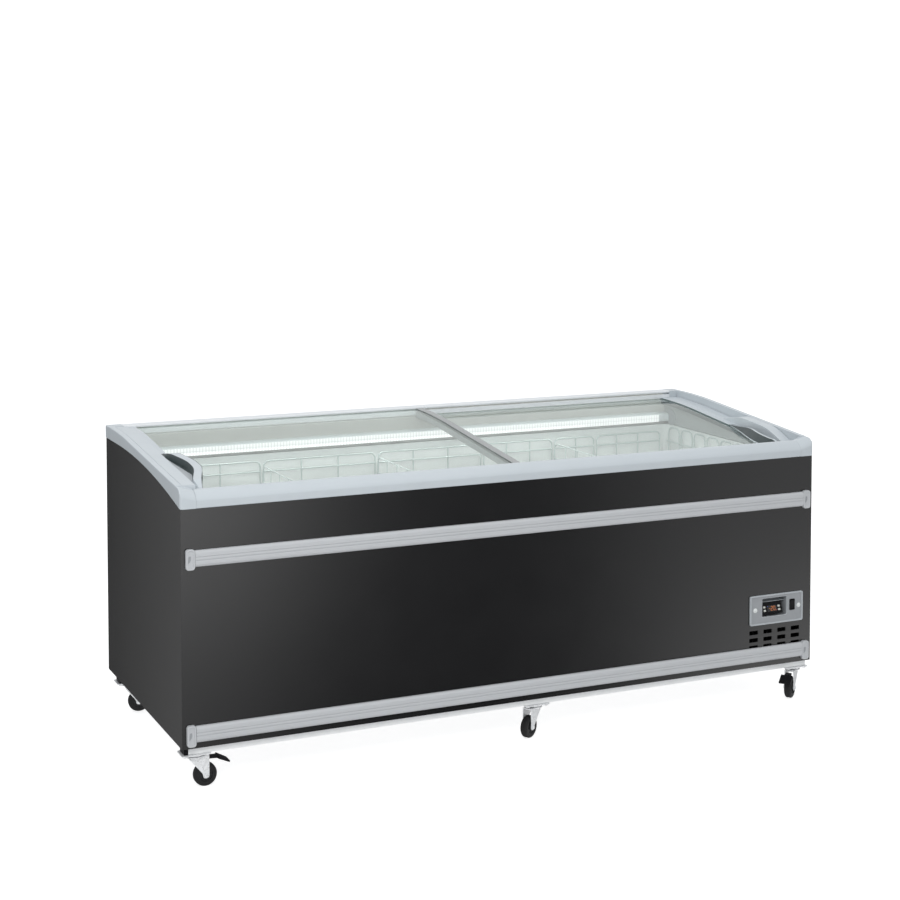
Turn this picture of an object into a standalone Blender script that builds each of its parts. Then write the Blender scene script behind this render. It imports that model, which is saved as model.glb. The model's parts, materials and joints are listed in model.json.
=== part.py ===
"""A supermarket chest freezer: an insulated tub in a dark steel cabinet, closed by two curved glass
lids that slide past each other in a plastic frame, on six swivel casters.

Metres, +Z up, the floor at Z 0, +X along the length to the right, +Y to the rear.
"""

from math import cos, pi, radians, sin, sqrt

import bmesh
import bpy
from mathutils import Matrix, Vector

# Overall size
LENGTH = 2.104
CABINET_LENGTH = 2.100
CABINET_DEPTH = 0.850
HEIGHT = 0.905
BUMPER_PROUD = 0.012
FRAME_PROUD = 0.003
GAP = 0.0004
SHEET = 0.0008

# Casters. The front right brake pedal is what reaches furthest forward, so it sets the middle
WHEEL_RADIUS = 0.0335
WHEEL_WIDTH = 0.024
TRAIL = 0.030
FRONT_RIGHT_TURN = radians(-140)
FRONT_RAIL_DEPTH = 0.0345
REAR_RAIL_DEPTH = 0.7655
PEDAL_PIVOT = TRAIL + 0.013
PEDAL_PIVOT_Z = 0.080
PEDAL_LENGTH = 0.0555
PEDAL_HALF_WIDTH = 0.019
PEDAL_PROUD = (
    (PEDAL_PIVOT + PEDAL_LENGTH) * -sin(FRONT_RIGHT_TURN)
    + PEDAL_HALF_WIDTH * -cos(FRONT_RIGHT_TURN)
    - FRONT_RAIL_DEPTH
)

END_X = LENGTH / 2
SIDE_X = CABINET_LENGTH / 2
FRONT_Y = (PEDAL_PROUD - CABINET_DEPTH - FRAME_PROUD) / 2
REAR_Y = FRONT_Y + CABINET_DEPTH
FRAME_FRONT_Y = FRONT_Y - FRAME_PROUD
FRAME_REAR_Y = REAR_Y + FRAME_PROUD
PANEL_BACK_Y = REAR_Y - SHEET - GAP
CABINET_BOTTOM = 0.120
CABINET_TOP = 0.790
PANEL_TOP_REAR = 0.866

# The frame's top edge: level at the rear, then an arc, then a straight fall to the front
LEVEL_Y = FRONT_Y + 0.7845
FRAME_ARC_SPAN = 0.200
FRAME_ARC_RADIUS = 2.300
FRONT_ROUND = 0.026
CORNER_ROUND = 0.012
BAND_LEVEL_Y = FRONT_Y + 0.695
RAIL_WIDTH = 0.043
RAIL_REAR_WIDTH = 0.053
RAIL_SEAM_X = 1.005
STRIP_WIDTH = 0.0175

# Lids
LID_REAR_Z = 0.898
LID_ARC_Y = FRONT_Y + 0.8105
LID_ARC_SPAN = 0.240
LID_ARC_RADIUS = 2.200
LID_STEP = 0.020
GLASS = 0.004
GROOVE_DEPTH = 0.013
LID_INSERT = 0.011
LID_EDGE_X = END_X - STRIP_WIDTH - 0.001
MEET_X = 0.0255
TRIM_LIP = 0.0018
GLASS_INSET = 0.042
LIP_HEIGHT = 0.021
# Depths from the cabinet's front where each part of a handle starts, is full, fades and ends
SCOOP = (0.4405, 0.2405, 0.1705, 0.0355)
LIP = (0.4405, 0.3405, 0.0905, 0.0405)
HUMP = (0.4605, 0.3155, 0.2105, 0.0355)

# Tub
TUB_END_X = 0.986
TUB_FRONT_Y = FRONT_Y + 0.067
TUB_REAR_Y = FRONT_Y + 0.783
TUB_FLOOR_Z = 0.185
TUB_TOP_Z = 0.7872
STEP_X = 0.700
STEP_Z = 0.445
LINER = 0.001
COIL_SPACE = 0.008
COIL_RADIUS = 0.003
SKIRT_X = 0.985
SKIRT_BOTTOM = 0.7905

# Machine compartment at the right end, under the step of the tub
MACHINE_X = 0.748
MACHINE_TOP = 0.395

# Bumpers, control panel and vents on the front
BUMPER_X = 1.012
BUMPER_ZS = {"upper": (0.629, 0.675), "lower": (0.1385, 0.184)}
CAP_ZS = {"upper": (0.621, 0.679), "lower": (0.127, 0.1875)}
CAP_X = 1.038
BEZEL_X = (0.8135, 1.0165)
BEZEL_Z = (0.2565, 0.3525)
RECESS_X = (0.860, 0.955)
RECESS_Z = (0.281, 0.341)
RECESS_DEPTH = 0.033
SWITCH_X = (0.9665, 0.9845)
SWITCH_Z = (0.2945, 0.3280)
ROCKER_TILT = radians(7)
VENT_XS = ((0.814, 0.848), (0.868, 0.901), (0.921, 0.954), (0.9735, 1.007))
VENT_ZS = ((0.178, 0.192), (0.2015, 0.2155), (0.2255, 0.2395))

# Base rails and casters
BASE_RAIL_Z = (0.0995, 0.1193)
BASE_RAIL_DEPTH = 0.040
BASE_RAIL_X = 1.040
FRONT_RAIL_Y = FRONT_Y + FRONT_RAIL_DEPTH
REAR_RAIL_Y = FRONT_Y + REAR_RAIL_DEPTH
PLATE_SIZE = (0.084, 0.060, 0.0026)
PLATE_TOP = BASE_RAIL_Z[0] - 0.0003
# name: (x, y, direction the wheel trails in, has a brake)
CASTERS = {
    "front_left": (-1.006, FRONT_RAIL_Y, 0.0, True),
    "front_middle": (0.058, FRONT_RAIL_Y, radians(-149), False),
    "front_right": (1.006, FRONT_RAIL_Y, FRONT_RIGHT_TURN, True),
    "rear_left": (-1.006, REAR_RAIL_Y, radians(-8), False),
    "rear_middle": (0.058, REAR_RAIL_Y, radians(25), False),
    "rear_right": (1.006, REAR_RAIL_Y, radians(160), False),
}

# Colour, roughness and metallic value of each surface
LOOKS = {
    "charcoal_paint": ((0.036, 0.036, 0.038), 0.38, 0.0),
    "frame_plastic": ((0.62, 0.65, 0.67), 0.42, 0.0),
    "bumper_plastic": ((0.56, 0.59, 0.61), 0.40, 0.0),
    "bezel_plastic": ((0.33, 0.36, 0.38), 0.45, 0.0),
    "white_steel": ((0.72, 0.74, 0.73), 0.35, 0.0),
    "zinc": ((0.70, 0.72, 0.73), 0.30, 0.9),
    "black_rubber": ((0.012, 0.012, 0.013), 0.60, 0.0),
    "black_plastic": ((0.015, 0.015, 0.016), 0.40, 0.0),
    "foam": ((0.78, 0.70, 0.46), 0.90, 0.0),
    "wire": ((0.74, 0.77, 0.76), 0.30, 0.0),
    "copper": ((0.72, 0.36, 0.22), 0.30, 1.0),
    "aluminium": ((0.75, 0.76, 0.77), 0.30, 1.0),
    "lamp": ((0.95, 0.97, 1.00), 0.30, 0.0),
    "button": ((0.72, 0.73, 0.68), 0.50, 0.0),
    "glass": ((0.75, 0.82, 0.80), 0.05, 0.0),
}
SHARP_ANGLE = radians(32)


def clear_scene():
    for obj in list(bpy.data.objects):
        bpy.data.objects.remove(obj, do_unlink=True)


def material(name, look):
    colour, roughness, metallic = LOOKS[look]
    mat = bpy.data.materials.new(name)
    mat.use_nodes = True
    shader = mat.node_tree.nodes["Principled BSDF"]
    shader.inputs["Base Color"].default_value = (*colour, 1.0)
    shader.inputs["Roughness"].default_value = roughness
    shader.inputs["Metallic"].default_value = metallic
    mat.diffuse_color = (*colour, 1.0)
    return mat


def finished(bm):
    """The bmesh as a mesh: faces outward, smooth except over sharp edges."""
    bmesh.ops.recalc_face_normals(bm, faces=bm.faces)
    mesh = bpy.data.meshes.new("shape")
    bm.to_mesh(mesh)
    bm.free()
    mesh.shade_smooth()
    mesh.set_sharp_from_angle(angle=SHARP_ANGLE)
    return mesh


def place(name, mesh, look, at=(0, 0, 0), parent=None, turn=None):
    """An object whose mesh is in its own axes, standing at a point and perhaps turned."""
    obj = bpy.data.objects.new(name, mesh)
    bpy.context.collection.objects.link(obj)
    obj.parent = parent
    obj.location = at
    if turn:
        obj.rotation_euler = turn
    if not mesh.materials:
        mesh.materials.append(material(name, look))
    return obj


def loft(rings):
    """A closed body through rings of equal length, capped at both ends."""
    bm = bmesh.new()
    loops = [[bm.verts.new(point) for point in ring] for ring in rings]
    for low, high in zip(loops, loops[1:]):
        for i in range(len(low)):
            j = (i + 1) % len(low)
            bm.faces.new((low[i], low[j], high[j], high[i]))
    bm.faces.new(loops[0])
    bm.faces.new(loops[-1])
    return finished(bm)


def across(axis, value, a, b):
    """A point from its place along one axis and its two other coordinates, in order."""
    point = [a, b]
    point.insert(axis, value)
    return tuple(point)


def prism(outline, axis, low, high):
    """An outline swept straight along an axis."""
    return loft([[across(axis, v, a, b) for a, b in outline] for v in (low, high)])


def box(low, high):
    corners = ((low[0], low[1]), (high[0], low[1]), (high[0], high[1]), (low[0], high[1]))
    return prism(corners, 2, low[2], high[2])


def rounded(low, high, radius, steps=4):
    """The outline of a rectangle with round corners, low and high being opposite corners."""
    centres = (
        (high[0] - radius, high[1] - radius, 0),
        (low[0] + radius, high[1] - radius, 90),
        (low[0] + radius, low[1] + radius, 180),
        (high[0] - radius, low[1] + radius, 270),
    )
    return [
        (a + radius * cos(radians(start + 90 * i / steps)),
         b + radius * sin(radians(start + 90 * i / steps)))
        for a, b, start in centres
        for i in range(steps + 1)
    ]


def pierced(axis, low, high, a_range, b_range, holes):
    """A plate across an axis with rectangular holes, each (a0, a1, b0, b1)."""
    a_lines = sorted({*a_range, *(v for h in holes for v in h[:2])})
    b_lines = sorted({*b_range, *(v for h in holes for v in h[2:])})
    bm = bmesh.new()
    sides = [
        [[bm.verts.new(across(axis, v, a, b)) for b in b_lines] for a in a_lines]
        for v in (low, high)
    ]

    def solid(i, j):
        if not (0 <= i < len(a_lines) - 1 and 0 <= j < len(b_lines) - 1):
            return False
        a, b = (a_lines[i] + a_lines[i + 1]) / 2, (b_lines[j] + b_lines[j + 1]) / 2
        return not any(h[0] < a < h[1] and h[2] < b < h[3] for h in holes)

    def wall(first, second):
        (i, j), (k, m) = first, second
        near, far = sides
        bm.faces.new((near[i][j], near[k][m], far[k][m], far[i][j]))

    for i in range(len(a_lines) - 1):
        for j in range(len(b_lines) - 1):
            if not solid(i, j):
                continue
            for side in sides:
                bm.faces.new((side[i][j], side[i + 1][j], side[i + 1][j + 1], side[i][j + 1]))
            if not solid(i, j - 1):
                wall((i, j), (i + 1, j))
            if not solid(i, j + 1):
                wall((i, j + 1), (i + 1, j + 1))
            if not solid(i - 1, j):
                wall((i, j), (i, j + 1))
            if not solid(i + 1, j):
                wall((i + 1, j), (i + 1, j + 1))
    bmesh.ops.delete(bm, geom=[v for v in bm.verts if not v.link_faces], context="VERTS")
    return finished(bm)


def turned(profile, steps, axis=1, start=-pi / 2):
    """A solid of revolution about an axis from (distance along it, radius) points."""
    others = [i for i in range(3) if i != axis]
    bm = bmesh.new()
    rings = []
    for along, radius in profile:
        ring = []
        for i in range(steps):
            angle = start + 2 * pi * i / steps
            point = [0.0, 0.0, 0.0]
            point[axis] = along
            point[others[0]] = radius * cos(angle)
            point[others[1]] = radius * sin(angle)
            ring.append(bm.verts.new(point))
        rings.append(ring)
    for low, high in zip(rings, rings[1:]):
        for i in range(steps):
            j = (i + 1) % steps
            bm.faces.new((low[i], low[j], high[j], high[i]))
    bm.faces.new(rings[0])
    bm.faces.new(rings[-1])
    return finished(bm)


def tube(path, radius, sides=4):
    """A rod of even thickness along a path, mitred at each corner."""
    points = [Vector(p) for p in path]
    ways = [(b - a).normalized() for a, b in zip(points, points[1:])]
    side = ways[0].cross(Vector((0, 0, 1)) if abs(ways[0].z) < 0.9 else Vector((1, 0, 0)))
    side.normalize()
    up = side.cross(ways[0])
    ring = [
        points[0] + radius * (side * cos(t) + up * sin(t))
        for t in (2 * pi * (i + 0.5) / sides for i in range(sides))
    ]
    rings = [ring]
    for i, way in enumerate(ways):
        last = i == len(ways) - 1
        cut = way if last else (way + ways[i + 1]).normalized()
        ring = [p + way * ((points[i + 1] - p).dot(cut) / way.dot(cut)) for p in ring]
        rings.append(ring)
    return loft(rings)


def combined(base, tools):
    """A mesh after exact Booleans, each tool given as (operation, mesh)."""
    target = bpy.data.objects.new("base", base)
    bpy.context.collection.objects.link(target)
    helpers = [target]
    for operation, mesh in tools:
        helper = bpy.data.objects.new("tool", mesh)
        bpy.context.collection.objects.link(helper)
        modifier = target.modifiers.new(operation.lower(), "BOOLEAN")
        modifier.operation = operation
        modifier.object = helper
        modifier.solver = "EXACT"
        helpers.append(helper)
    bpy.context.view_layer.update()
    graph = bpy.context.evaluated_depsgraph_get()
    mesh = bpy.data.meshes.new_from_object(target.evaluated_get(graph))
    for obj in helpers:
        bpy.data.objects.remove(obj, do_unlink=True)
    bm = bmesh.new()
    bm.from_mesh(mesh)
    bmesh.ops.dissolve_limit(bm, angle_limit=radians(0.5), verts=bm.verts, edges=bm.edges)
    bmesh.ops.triangulate(bm, faces=bm.faces)
    return finished(bm)


def swell(y, stretch):
    """From 0 to 1 and back over a stretch of depths from the cabinet's front."""
    start, full, fading, end = stretch
    depth = y - FRONT_Y
    return smooth_step(depth, start, full) * smooth_step(depth, end, fading)


def moved(mesh, offset):
    mesh.transform(Matrix.Translation(offset))
    return mesh


def spread(low, high, count):
    return [low + (high - low) * i / (count - 1) for i in range(count)]


def smooth_step(value, low, high):
    t = min(max((value - low) / (high - low), 0.0), 1.0)
    return t * t * (3 - 2 * t)


def arc_then_slope(y, start, span, radius):
    """How far a curve has fallen: an arc over a span in front of start, then its tangent."""
    run = max(start - y, 0.0)
    bend = min(run, span)
    return bend * bend / (2 * radius) + (run - bend) * span / radius


def frame_top(y):
    height = HEIGHT - arc_then_slope(y, LEVEL_Y, FRAME_ARC_SPAN, FRAME_ARC_RADIUS)
    inset = FRONT_ROUND - min(y - FRAME_FRONT_Y, FRONT_ROUND)
    return height - FRONT_ROUND + sqrt(max(FRONT_ROUND**2 - inset**2, 0.0))


def band_low(y):
    """The lower edge of the frame's outer band, which is also the side panel's top edge."""
    run = max(BAND_LEVEL_Y - y, 0.0) / (BAND_LEVEL_Y - FRAME_FRONT_Y)
    return PANEL_TOP_REAR - (PANEL_TOP_REAR - CABINET_TOP) * run * run


def glass_top(y, drop=0.0):
    return LID_REAR_Z - drop - arc_then_slope(y, LID_ARC_Y, LID_ARC_SPAN, LID_ARC_RADIUS)


def mirrored(side, ring):
    """A ring drawn for the right side, on the side given by its sign."""
    return [(side * x, y, z) for x, y, z in ring]


# Cabinet


def side_panel(name, side):
    rear, front = PANEL_BACK_Y, FRONT_Y + SHEET + GAP
    top = [(y, band_low(y) - GAP) for y in spread(rear, front, 11)]
    outline = [(front, CABINET_BOTTOM), (rear, CABINET_BOTTOM), *top]
    low, high = sorted((side * (SIDE_X - SHEET), side * SIDE_X))
    place(name, prism(outline, 0, low, high), "charcoal_paint")


def front_panel():
    vents = [(*x, *z) for x in VENT_XS for z in VENT_ZS]
    pocket = (RECESS_X[0] - 0.004, RECESS_X[1] + 0.004, RECESS_Z[0] - 0.004, RECESS_Z[1] + 0.004)
    switch = (SWITCH_X[0] - 0.003, SWITCH_X[1] + 0.003, SWITCH_Z[0] - 0.003, SWITCH_Z[1] + 0.003)
    mesh = pierced(
        1, FRONT_Y, FRONT_Y + SHEET, (-SIDE_X, SIDE_X), (CABINET_BOTTOM, CABINET_TOP - GAP),
        [*vents, pocket, switch],
    )
    place("front_panel", mesh, "charcoal_paint")


def rear_panel():
    slots = [(x, x + 0.090, z, z + 0.008) for x in (0.790, 0.905) for z in spread(0.180, 0.330, 6)]
    mesh = pierced(
        1, REAR_Y - SHEET, REAR_Y, (-SIDE_X, SIDE_X), (CABINET_BOTTOM, PANEL_TOP_REAR - GAP), slots
    )
    place("rear_panel", mesh, "charcoal_paint")


def base_pan():
    inner_x = SIDE_X - SHEET - GAP
    front, rear = FRONT_Y + SHEET + GAP, REAR_Y - SHEET - GAP
    mesh = box((-inner_x, front, CABINET_BOTTOM), (inner_x, rear, CABINET_BOTTOM + SHEET))
    place("base_pan", mesh, "white_steel")


def base_rail(name, y, facing):
    """A steel channel, open toward the middle of the cabinet."""
    low, high = BASE_RAIL_Z
    outer, inner = y - facing * BASE_RAIL_DEPTH / 2, y + facing * BASE_RAIL_DEPTH / 2
    wall = 0.002
    web = outer + facing * wall
    outline = [
        (outer, low), (inner, low), (inner, low + wall), (web, low + wall),
        (web, high - wall), (inner, high - wall), (inner, high), (outer, high),
    ]
    place(name, prism(outline, 0, -BASE_RAIL_X, BASE_RAIL_X), "white_steel")


def insulation():
    """The foam block with the tub, the lip under the frame and the machine space cut out."""
    skin = SHEET + GAP
    floor = CABINET_BOTTOM + SHEET + GAP
    block = box(
        (-SIDE_X + skin, FRONT_Y + skin, floor), (SIDE_X - skin, REAR_Y - skin, TUB_TOP_Z - 0.0005)
    )
    space = COIL_SPACE
    front, rear = TUB_FRONT_Y - space, TUB_REAR_Y + space
    lower = box((-TUB_END_X - space, front, TUB_FLOOR_Z - 0.001), (STEP_X + space, rear, 1.0))
    upper = box((0.0, front, STEP_Z - 0.001), (TUB_END_X + space, rear, 1.0))
    machine = box((MACHINE_X, -1.0, 0.0), (1.2, 1.0, MACHINE_TOP))
    cuts = [("DIFFERENCE", tool) for tool in (lower, upper, machine)]
    place("insulation", combined(block, cuts), "foam")


def inner_liner():
    """The tub's sheet skin with its raised step over the machine space and a rim flange."""
    outline = [
        (-TUB_END_X, TUB_TOP_Z), (-TUB_END_X, TUB_FLOOR_Z), (STEP_X, TUB_FLOOR_Z),
        (STEP_X, STEP_Z), (TUB_END_X, STEP_Z), (TUB_END_X, TUB_TOP_Z),
    ]
    flange = 0.024
    bm = bmesh.new()
    front, rear = ([bm.verts.new((x, y, z)) for x, z in outline] for y in (TUB_FRONT_Y, TUB_REAR_Y))
    for i in range(len(outline) - 1):
        bm.faces.new((front[i], front[i + 1], rear[i + 1], rear[i]))
    for row, out in ((front, -flange), (rear, flange)):
        bm.faces.new(row[:4] + [row[4], row[5]])
        rim = [bm.verts.new(row[i].co + Vector((0, out, 0))) for i in (0, -1)]
        bm.faces.new((row[0], row[-1], rim[1], rim[0]))
    bmesh.ops.recalc_face_normals(bm, faces=bm.faces)
    bmesh.ops.triangulate(bm, faces=bm.faces)
    if sum(f.normal.z * f.calc_area() for f in bm.faces if f.calc_center_median().z < 0.2) > 0:
        bmesh.ops.reverse_faces(bm, faces=bm.faces)
    mesh = bpy.data.meshes.new("shape")
    bm.to_mesh(mesh)
    bm.free()
    obj = place("inner_liner", mesh, "white_steel")
    solidify = obj.modifiers.new("sheet", "SOLIDIFY")
    solidify.thickness = LINER
    solidify.offset = -1.0
    solidify.use_even_offset = True


def evaporator_coil():
    """One tube wound round the tub in the space behind its liner."""
    half = COIL_SPACE / 2
    left = -TUB_END_X - half
    front, rear = TUB_FRONT_Y - half, TUB_REAR_Y + half
    path = []
    for z, right in [(z, STEP_X + half) for z in (0.22, 0.29, 0.36)] + [
        (z, TUB_END_X + half) for z in (0.50, 0.58, 0.66, 0.74)
    ]:
        path += [(left, front, z), (right, front, z), (right, rear, z), (left, rear, z)]
    place("evaporator_coil", tube(path, COIL_RADIUS), "copper")


def compressor():
    """A hermetic compressor: a domed can on a four-footed plate."""
    at = Vector((0.905, FRONT_Y + 0.540, CABINET_BOTTOM + SHEET + GAP))
    radius, height = 0.080, 0.170
    profile = [(0.012, 0.070), (0.030, radius), (0.118, radius), (0.140, 0.072), (0.158, 0.052),
               (height, 0.020)]
    can = turned(profile, 20, axis=2)
    plate = prism(rounded((-0.095, -0.075), (0.095, 0.075), 0.020, 3), 2, 0.0, 0.014)
    stub = tube([(0.060, 0.0, 0.110), (0.105, 0.0, 0.110), (0.105, 0.0, 0.190)], 0.005, 8)
    mesh = combined(can, [("UNION", plate), ("UNION", stub)])
    place("compressor", moved(mesh, at), "black_plastic")


def condenser():
    """A finned block behind the front vents."""
    x_low, x_high = 0.790, 1.015
    front, rear, spine = FRONT_Y + 0.060, FRONT_Y + 0.120, 0.006
    outline = [(x_low, rear)]
    fins = 12
    pitch = (x_high - x_low) / fins
    for i in range(fins):
        x = x_low + i * pitch
        outline += [(x, front), (x + pitch * 0.4, front)]
        if i < fins - 1:
            outline += [(x + pitch * 0.4, rear - spine), (x + pitch, rear - spine)]
    outline.append((x_low + (fins - 0.6) * pitch, rear))
    floor = CABINET_BOTTOM + SHEET + GAP
    place("condenser", prism(outline, 2, floor, floor + 0.200), "aluminium")


# Frame round the opening


def rail_profile(y):
    """The top of the front rail: a low front face, then a rounded slope to the crest."""
    t = min(max((y - FRAME_FRONT_Y) / 0.034, 0.0), 1.0)
    return 0.8140 + 0.0235 * sin(t * pi / 2)


def front_frame_rail():
    rear = FRAME_FRONT_Y + RAIL_WIDTH
    top = [(y, rail_profile(y)) for y in spread(FRAME_FRONT_Y, rear - 0.002, 8)]
    outline = [(rear, CABINET_TOP), (FRAME_FRONT_Y, CABINET_TOP), *top]
    outline.append((rear, rail_profile(rear) - 0.002))
    for drop in (0.0, LID_STEP):
        high, low = glass_top(rear, drop) + 0.002, glass_top(rear, drop) - GLASS - 0.0030
        outline += [(rear, high), (rear - GROOVE_DEPTH, high), (rear - GROOVE_DEPTH, low), (rear, low)]
    place("front_frame_rail", prism(outline, 0, -RAIL_SEAM_X, RAIL_SEAM_X), "frame_plastic")


def rear_frame_rail():
    """The rear rail with its skirt down to the tub, grooved for the lids."""
    front = FRAME_REAR_Y - RAIL_REAR_WIDTH
    under = front + GROOVE_DEPTH + 0.004
    outline = [(front, SKIRT_BOTTOM)]
    for drop in (LID_STEP, 0.0):
        low, high = glass_top(front, drop) - GLASS - 0.001, glass_top(front, drop) + 0.001
        outline += [(front, low), (front + GROOVE_DEPTH, low), (front + GROOVE_DEPTH, high), (front, high)]
    outline += [
        (front, HEIGHT - 0.004), (front + 0.003, HEIGHT), (FRAME_REAR_Y - 0.004, HEIGHT),
        (FRAME_REAR_Y, HEIGHT - 0.004), (FRAME_REAR_Y, PANEL_TOP_REAR),
        (under, PANEL_TOP_REAR), (under, 0.860), (front + 0.008, 0.852), (front + 0.008, SKIRT_BOTTOM),
    ]
    place("rear_frame_rail", prism(outline, 0, -RAIL_SEAM_X, RAIL_SEAM_X), "frame_plastic")


def end_ring(y, drop):
    """The cross-section of an end frame at a place along its depth, drawn for the right."""
    inset = CORNER_ROUND - min(y - FRAME_FRONT_Y, CORNER_ROUND)
    outer = END_X - CORNER_ROUND + sqrt(CORNER_ROUND**2 - inset**2)
    top, low = frame_top(y), max(band_low(y), CABINET_TOP + 0.0003)
    inner = SIDE_X - SHEET - 2 * GAP
    inner = min(inner, outer - 0.004)
    front_end, rear_end = FRAME_FRONT_Y + RAIL_WIDTH + 0.0004, FRAME_REAR_Y - RAIL_REAR_WIDTH - 0.0004
    if front_end < y < rear_end:
        ledge = glass_top(y, drop) - GLASS - TRIM_LIP - 0.0014
        strip = END_X - STRIP_WIDTH
        return [
            (outer, y, low), (outer, y, top - 0.003), (outer - 0.003, y, top),
            (strip + 0.002, y, top), (strip, y, top - 0.002), (strip, y, ledge),
            (SKIRT_X, y, ledge), (SKIRT_X, y, SKIRT_BOTTOM), (inner, y, SKIRT_BOTTOM),
            (inner, y, low),
        ]
    seam = RAIL_SEAM_X + GAP
    base = CABINET_TOP
    inner_top = rail_profile(y) if y < 0 else HEIGHT
    if y > 0:
        base = SKIRT_BOTTOM if y < PANEL_BACK_Y else PANEL_TOP_REAR + 0.0003
    return [
        (outer, y, low), (outer, y, top - 0.003), (outer - 0.003, y, top),
        (seam + 0.003, y, inner_top), (seam, y, inner_top - 0.003),
        (seam, y, (inner_top + 2 * base) / 3), (seam, y, (inner_top + 3 * base) / 4),
        (seam, y, base), (inner, y, base), (inner, y, low),
    ]


def end_frame(name, side, drop):
    front_end, rear_end = FRAME_FRONT_Y + RAIL_WIDTH, FRAME_REAR_Y - RAIL_REAR_WIDTH
    corner = [FRAME_FRONT_Y + f * FRONT_ROUND for f in (0.0, 0.04, 0.15, 0.35, 0.62, 1.0)]
    stations = corner + [front_end + 0.0002]
    stations += spread(front_end + 0.0007, rear_end - 0.0007, 15)
    stations += [rear_end - 0.0002, PANEL_BACK_Y - 0.0005, PANEL_BACK_Y, FRAME_REAR_Y]
    rings = [mirrored(side, end_ring(y, drop)) for y in stations]
    place(name, loft(rings), "frame_plastic")


# Lids


def lid_glass(name, x_low, x_high, drop, slide):
    front = FRAME_FRONT_Y + RAIL_WIDTH - LID_INSERT
    rear = FRAME_REAR_Y - RAIL_REAR_WIDTH + LID_INSERT
    rings = []
    for y in spread(front, rear, 13):
        top = glass_top(y, drop)
        rings.append([
            (x_low, y, top - GLASS), (x_high, y, top - GLASS), (x_high, y, top), (x_low, y, top)
        ])
    place(name, moved(loft(rings), -slide.location), "glass", parent=slide)


def handle_reach(y):
    """How far in from the lid's outer edge the raised lip of the finger scoop stands."""
    return 0.0635 + 0.042 * swell(y, SCOOP)


def handle_ring(y, side, drop):
    """The cross-section of a lid's outer moulding, drawn inward from the lid's outer edge."""
    top = glass_top(y, drop)
    under = top - GLASS - 0.0004
    bottom = under - TRIM_LIP + 0.0002
    strip = top + 0.003
    flush = frame_top(y) - 0.0008
    low = strip + 0.0015
    flat = flush if drop == 0 else low + (flush - low) * swell(y, HUMP)
    reach = handle_reach(y)
    lip_top = strip + 0.0002 + LIP_HEIGHT * swell(y, LIP)
    seat = top + 0.0004
    points = [
        (0.0, bottom), (0.0, flat - 0.002), (0.002, flat), (0.0360, flat), (0.0385, flat - 0.0012),
        (0.0386, strip), (reach - 0.012, strip + 0.0001), (reach - 0.0070, lip_top - 0.0003),
        (reach - 0.0030, lip_top), (reach, strip - 0.0006), (reach, seat), (0.0405, seat),
        (0.0405, under), (0.0635, under), (0.0635, bottom),
    ]
    return [(side * (LID_EDGE_X - u), y, z) for u, z in points]


def lid_handle(name, side, drop, slide):
    front = FRAME_FRONT_Y + RAIL_WIDTH + 0.0010
    rear = FRAME_REAR_Y - RAIL_REAR_WIDTH - 0.0012
    tip = FRONT_Y + HUMP[0]
    rings = [handle_ring(y, side, drop) for y in spread(front, tip, 17) + spread(tip, rear, 7)[1:]]
    place(name, moved(loft(rings), -slide.location), "frame_plastic", parent=slide)


def lid_inner_trim(name, x_glass, x_cap, drop, above, below, slide):
    """The clip-on channel along the lid's inner end, from the cap to a lip over the glass."""
    front = FRAME_FRONT_Y + RAIL_WIDTH + 0.0010
    rear = FRAME_REAR_Y - RAIL_REAR_WIDTH - 0.0012
    inward = -1 if x_cap > x_glass else 1
    web = x_glass - inward * GAP
    lip = x_cap + inward * 0.0250
    rings = []
    for y in spread(front, rear, 13):
        top = glass_top(y, drop)
        under = top - GLASS - 0.0004
        rings.append([
            (x_cap, y, top - GLASS - below), (x_cap, y, top + above), (lip, y, top + above),
            (lip, y, top + 0.0004), (web, y, top + 0.0004), (web, y, under),
            (lip, y, under), (lip, y, top - GLASS - below),
        ])
    place(name, moved(loft(rings), -slide.location), "frame_plastic", parent=slide)


def lids():
    for name, side, drop in (("left", -1, 0.0), ("right", 1, LID_STEP)):
        at = Vector((side * 0.5, 0.0, LID_REAR_Z - drop))
        slide = bpy.data.objects.new(name + "_lid", None)
        bpy.context.collection.objects.link(slide)
        slide.location = at
        outer = side * (LID_EDGE_X - GLASS_INSET)
        if side < 0:
            low, high = outer, MEET_X - 0.003
            cap, above, below = MEET_X, 0.0028, TRIM_LIP + 0.0002
        else:
            low, high = 0.0015, outer
            cap, above, below = -0.0010, LID_STEP - GLASS - 0.0045, 0.0040
        inner = high if side < 0 else low
        lid_glass(name + "_lid_glass", low, high, drop, slide)
        lid_handle(name + "_lid_handle", side, drop, slide)
        lid_inner_trim(name + "_lid_inner_trim", inner, cap, drop, above, below, slide)


# Front fittings


def bumper_rail(name, low, high):
    """An extruded bumper with two beads and a groove along it."""
    back, front = FRONT_Y - GAP, FRONT_Y - BUMPER_PROUD + 0.0005
    tall = high - low
    outline = [
        (back, low), (front + 0.003, low), (front, low + 0.15 * tall), (front, low + 0.42 * tall),
        (front + 0.0025, low + 0.50 * tall), (front + 0.0025, low + 0.56 * tall),
        (front, low + 0.68 * tall), (front, low + 0.86 * tall), (front + 0.004, high), (back, high),
    ]
    place(name, prism(outline, 0, -BUMPER_X + GAP, BUMPER_X - GAP), "bumper_plastic")


def bumper_cap(name, side, low, high):
    x_low, x_high = sorted((side * BUMPER_X, side * CAP_X))
    back, front = FRONT_Y - GAP, FRONT_Y - BUMPER_PROUD
    rings = []
    for y, inset in ((back, 0.0), (front + 0.003, 0.0), (front + 0.0008, 0.0008), (front, 0.0028)):
        outline = rounded((x_low + inset, low + inset), (x_high - inset, high - inset), 0.008 - inset)
        rings.append([(x, y, z) for x, z in outline])
    place(name, loft(rings), "bumper_plastic")


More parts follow.
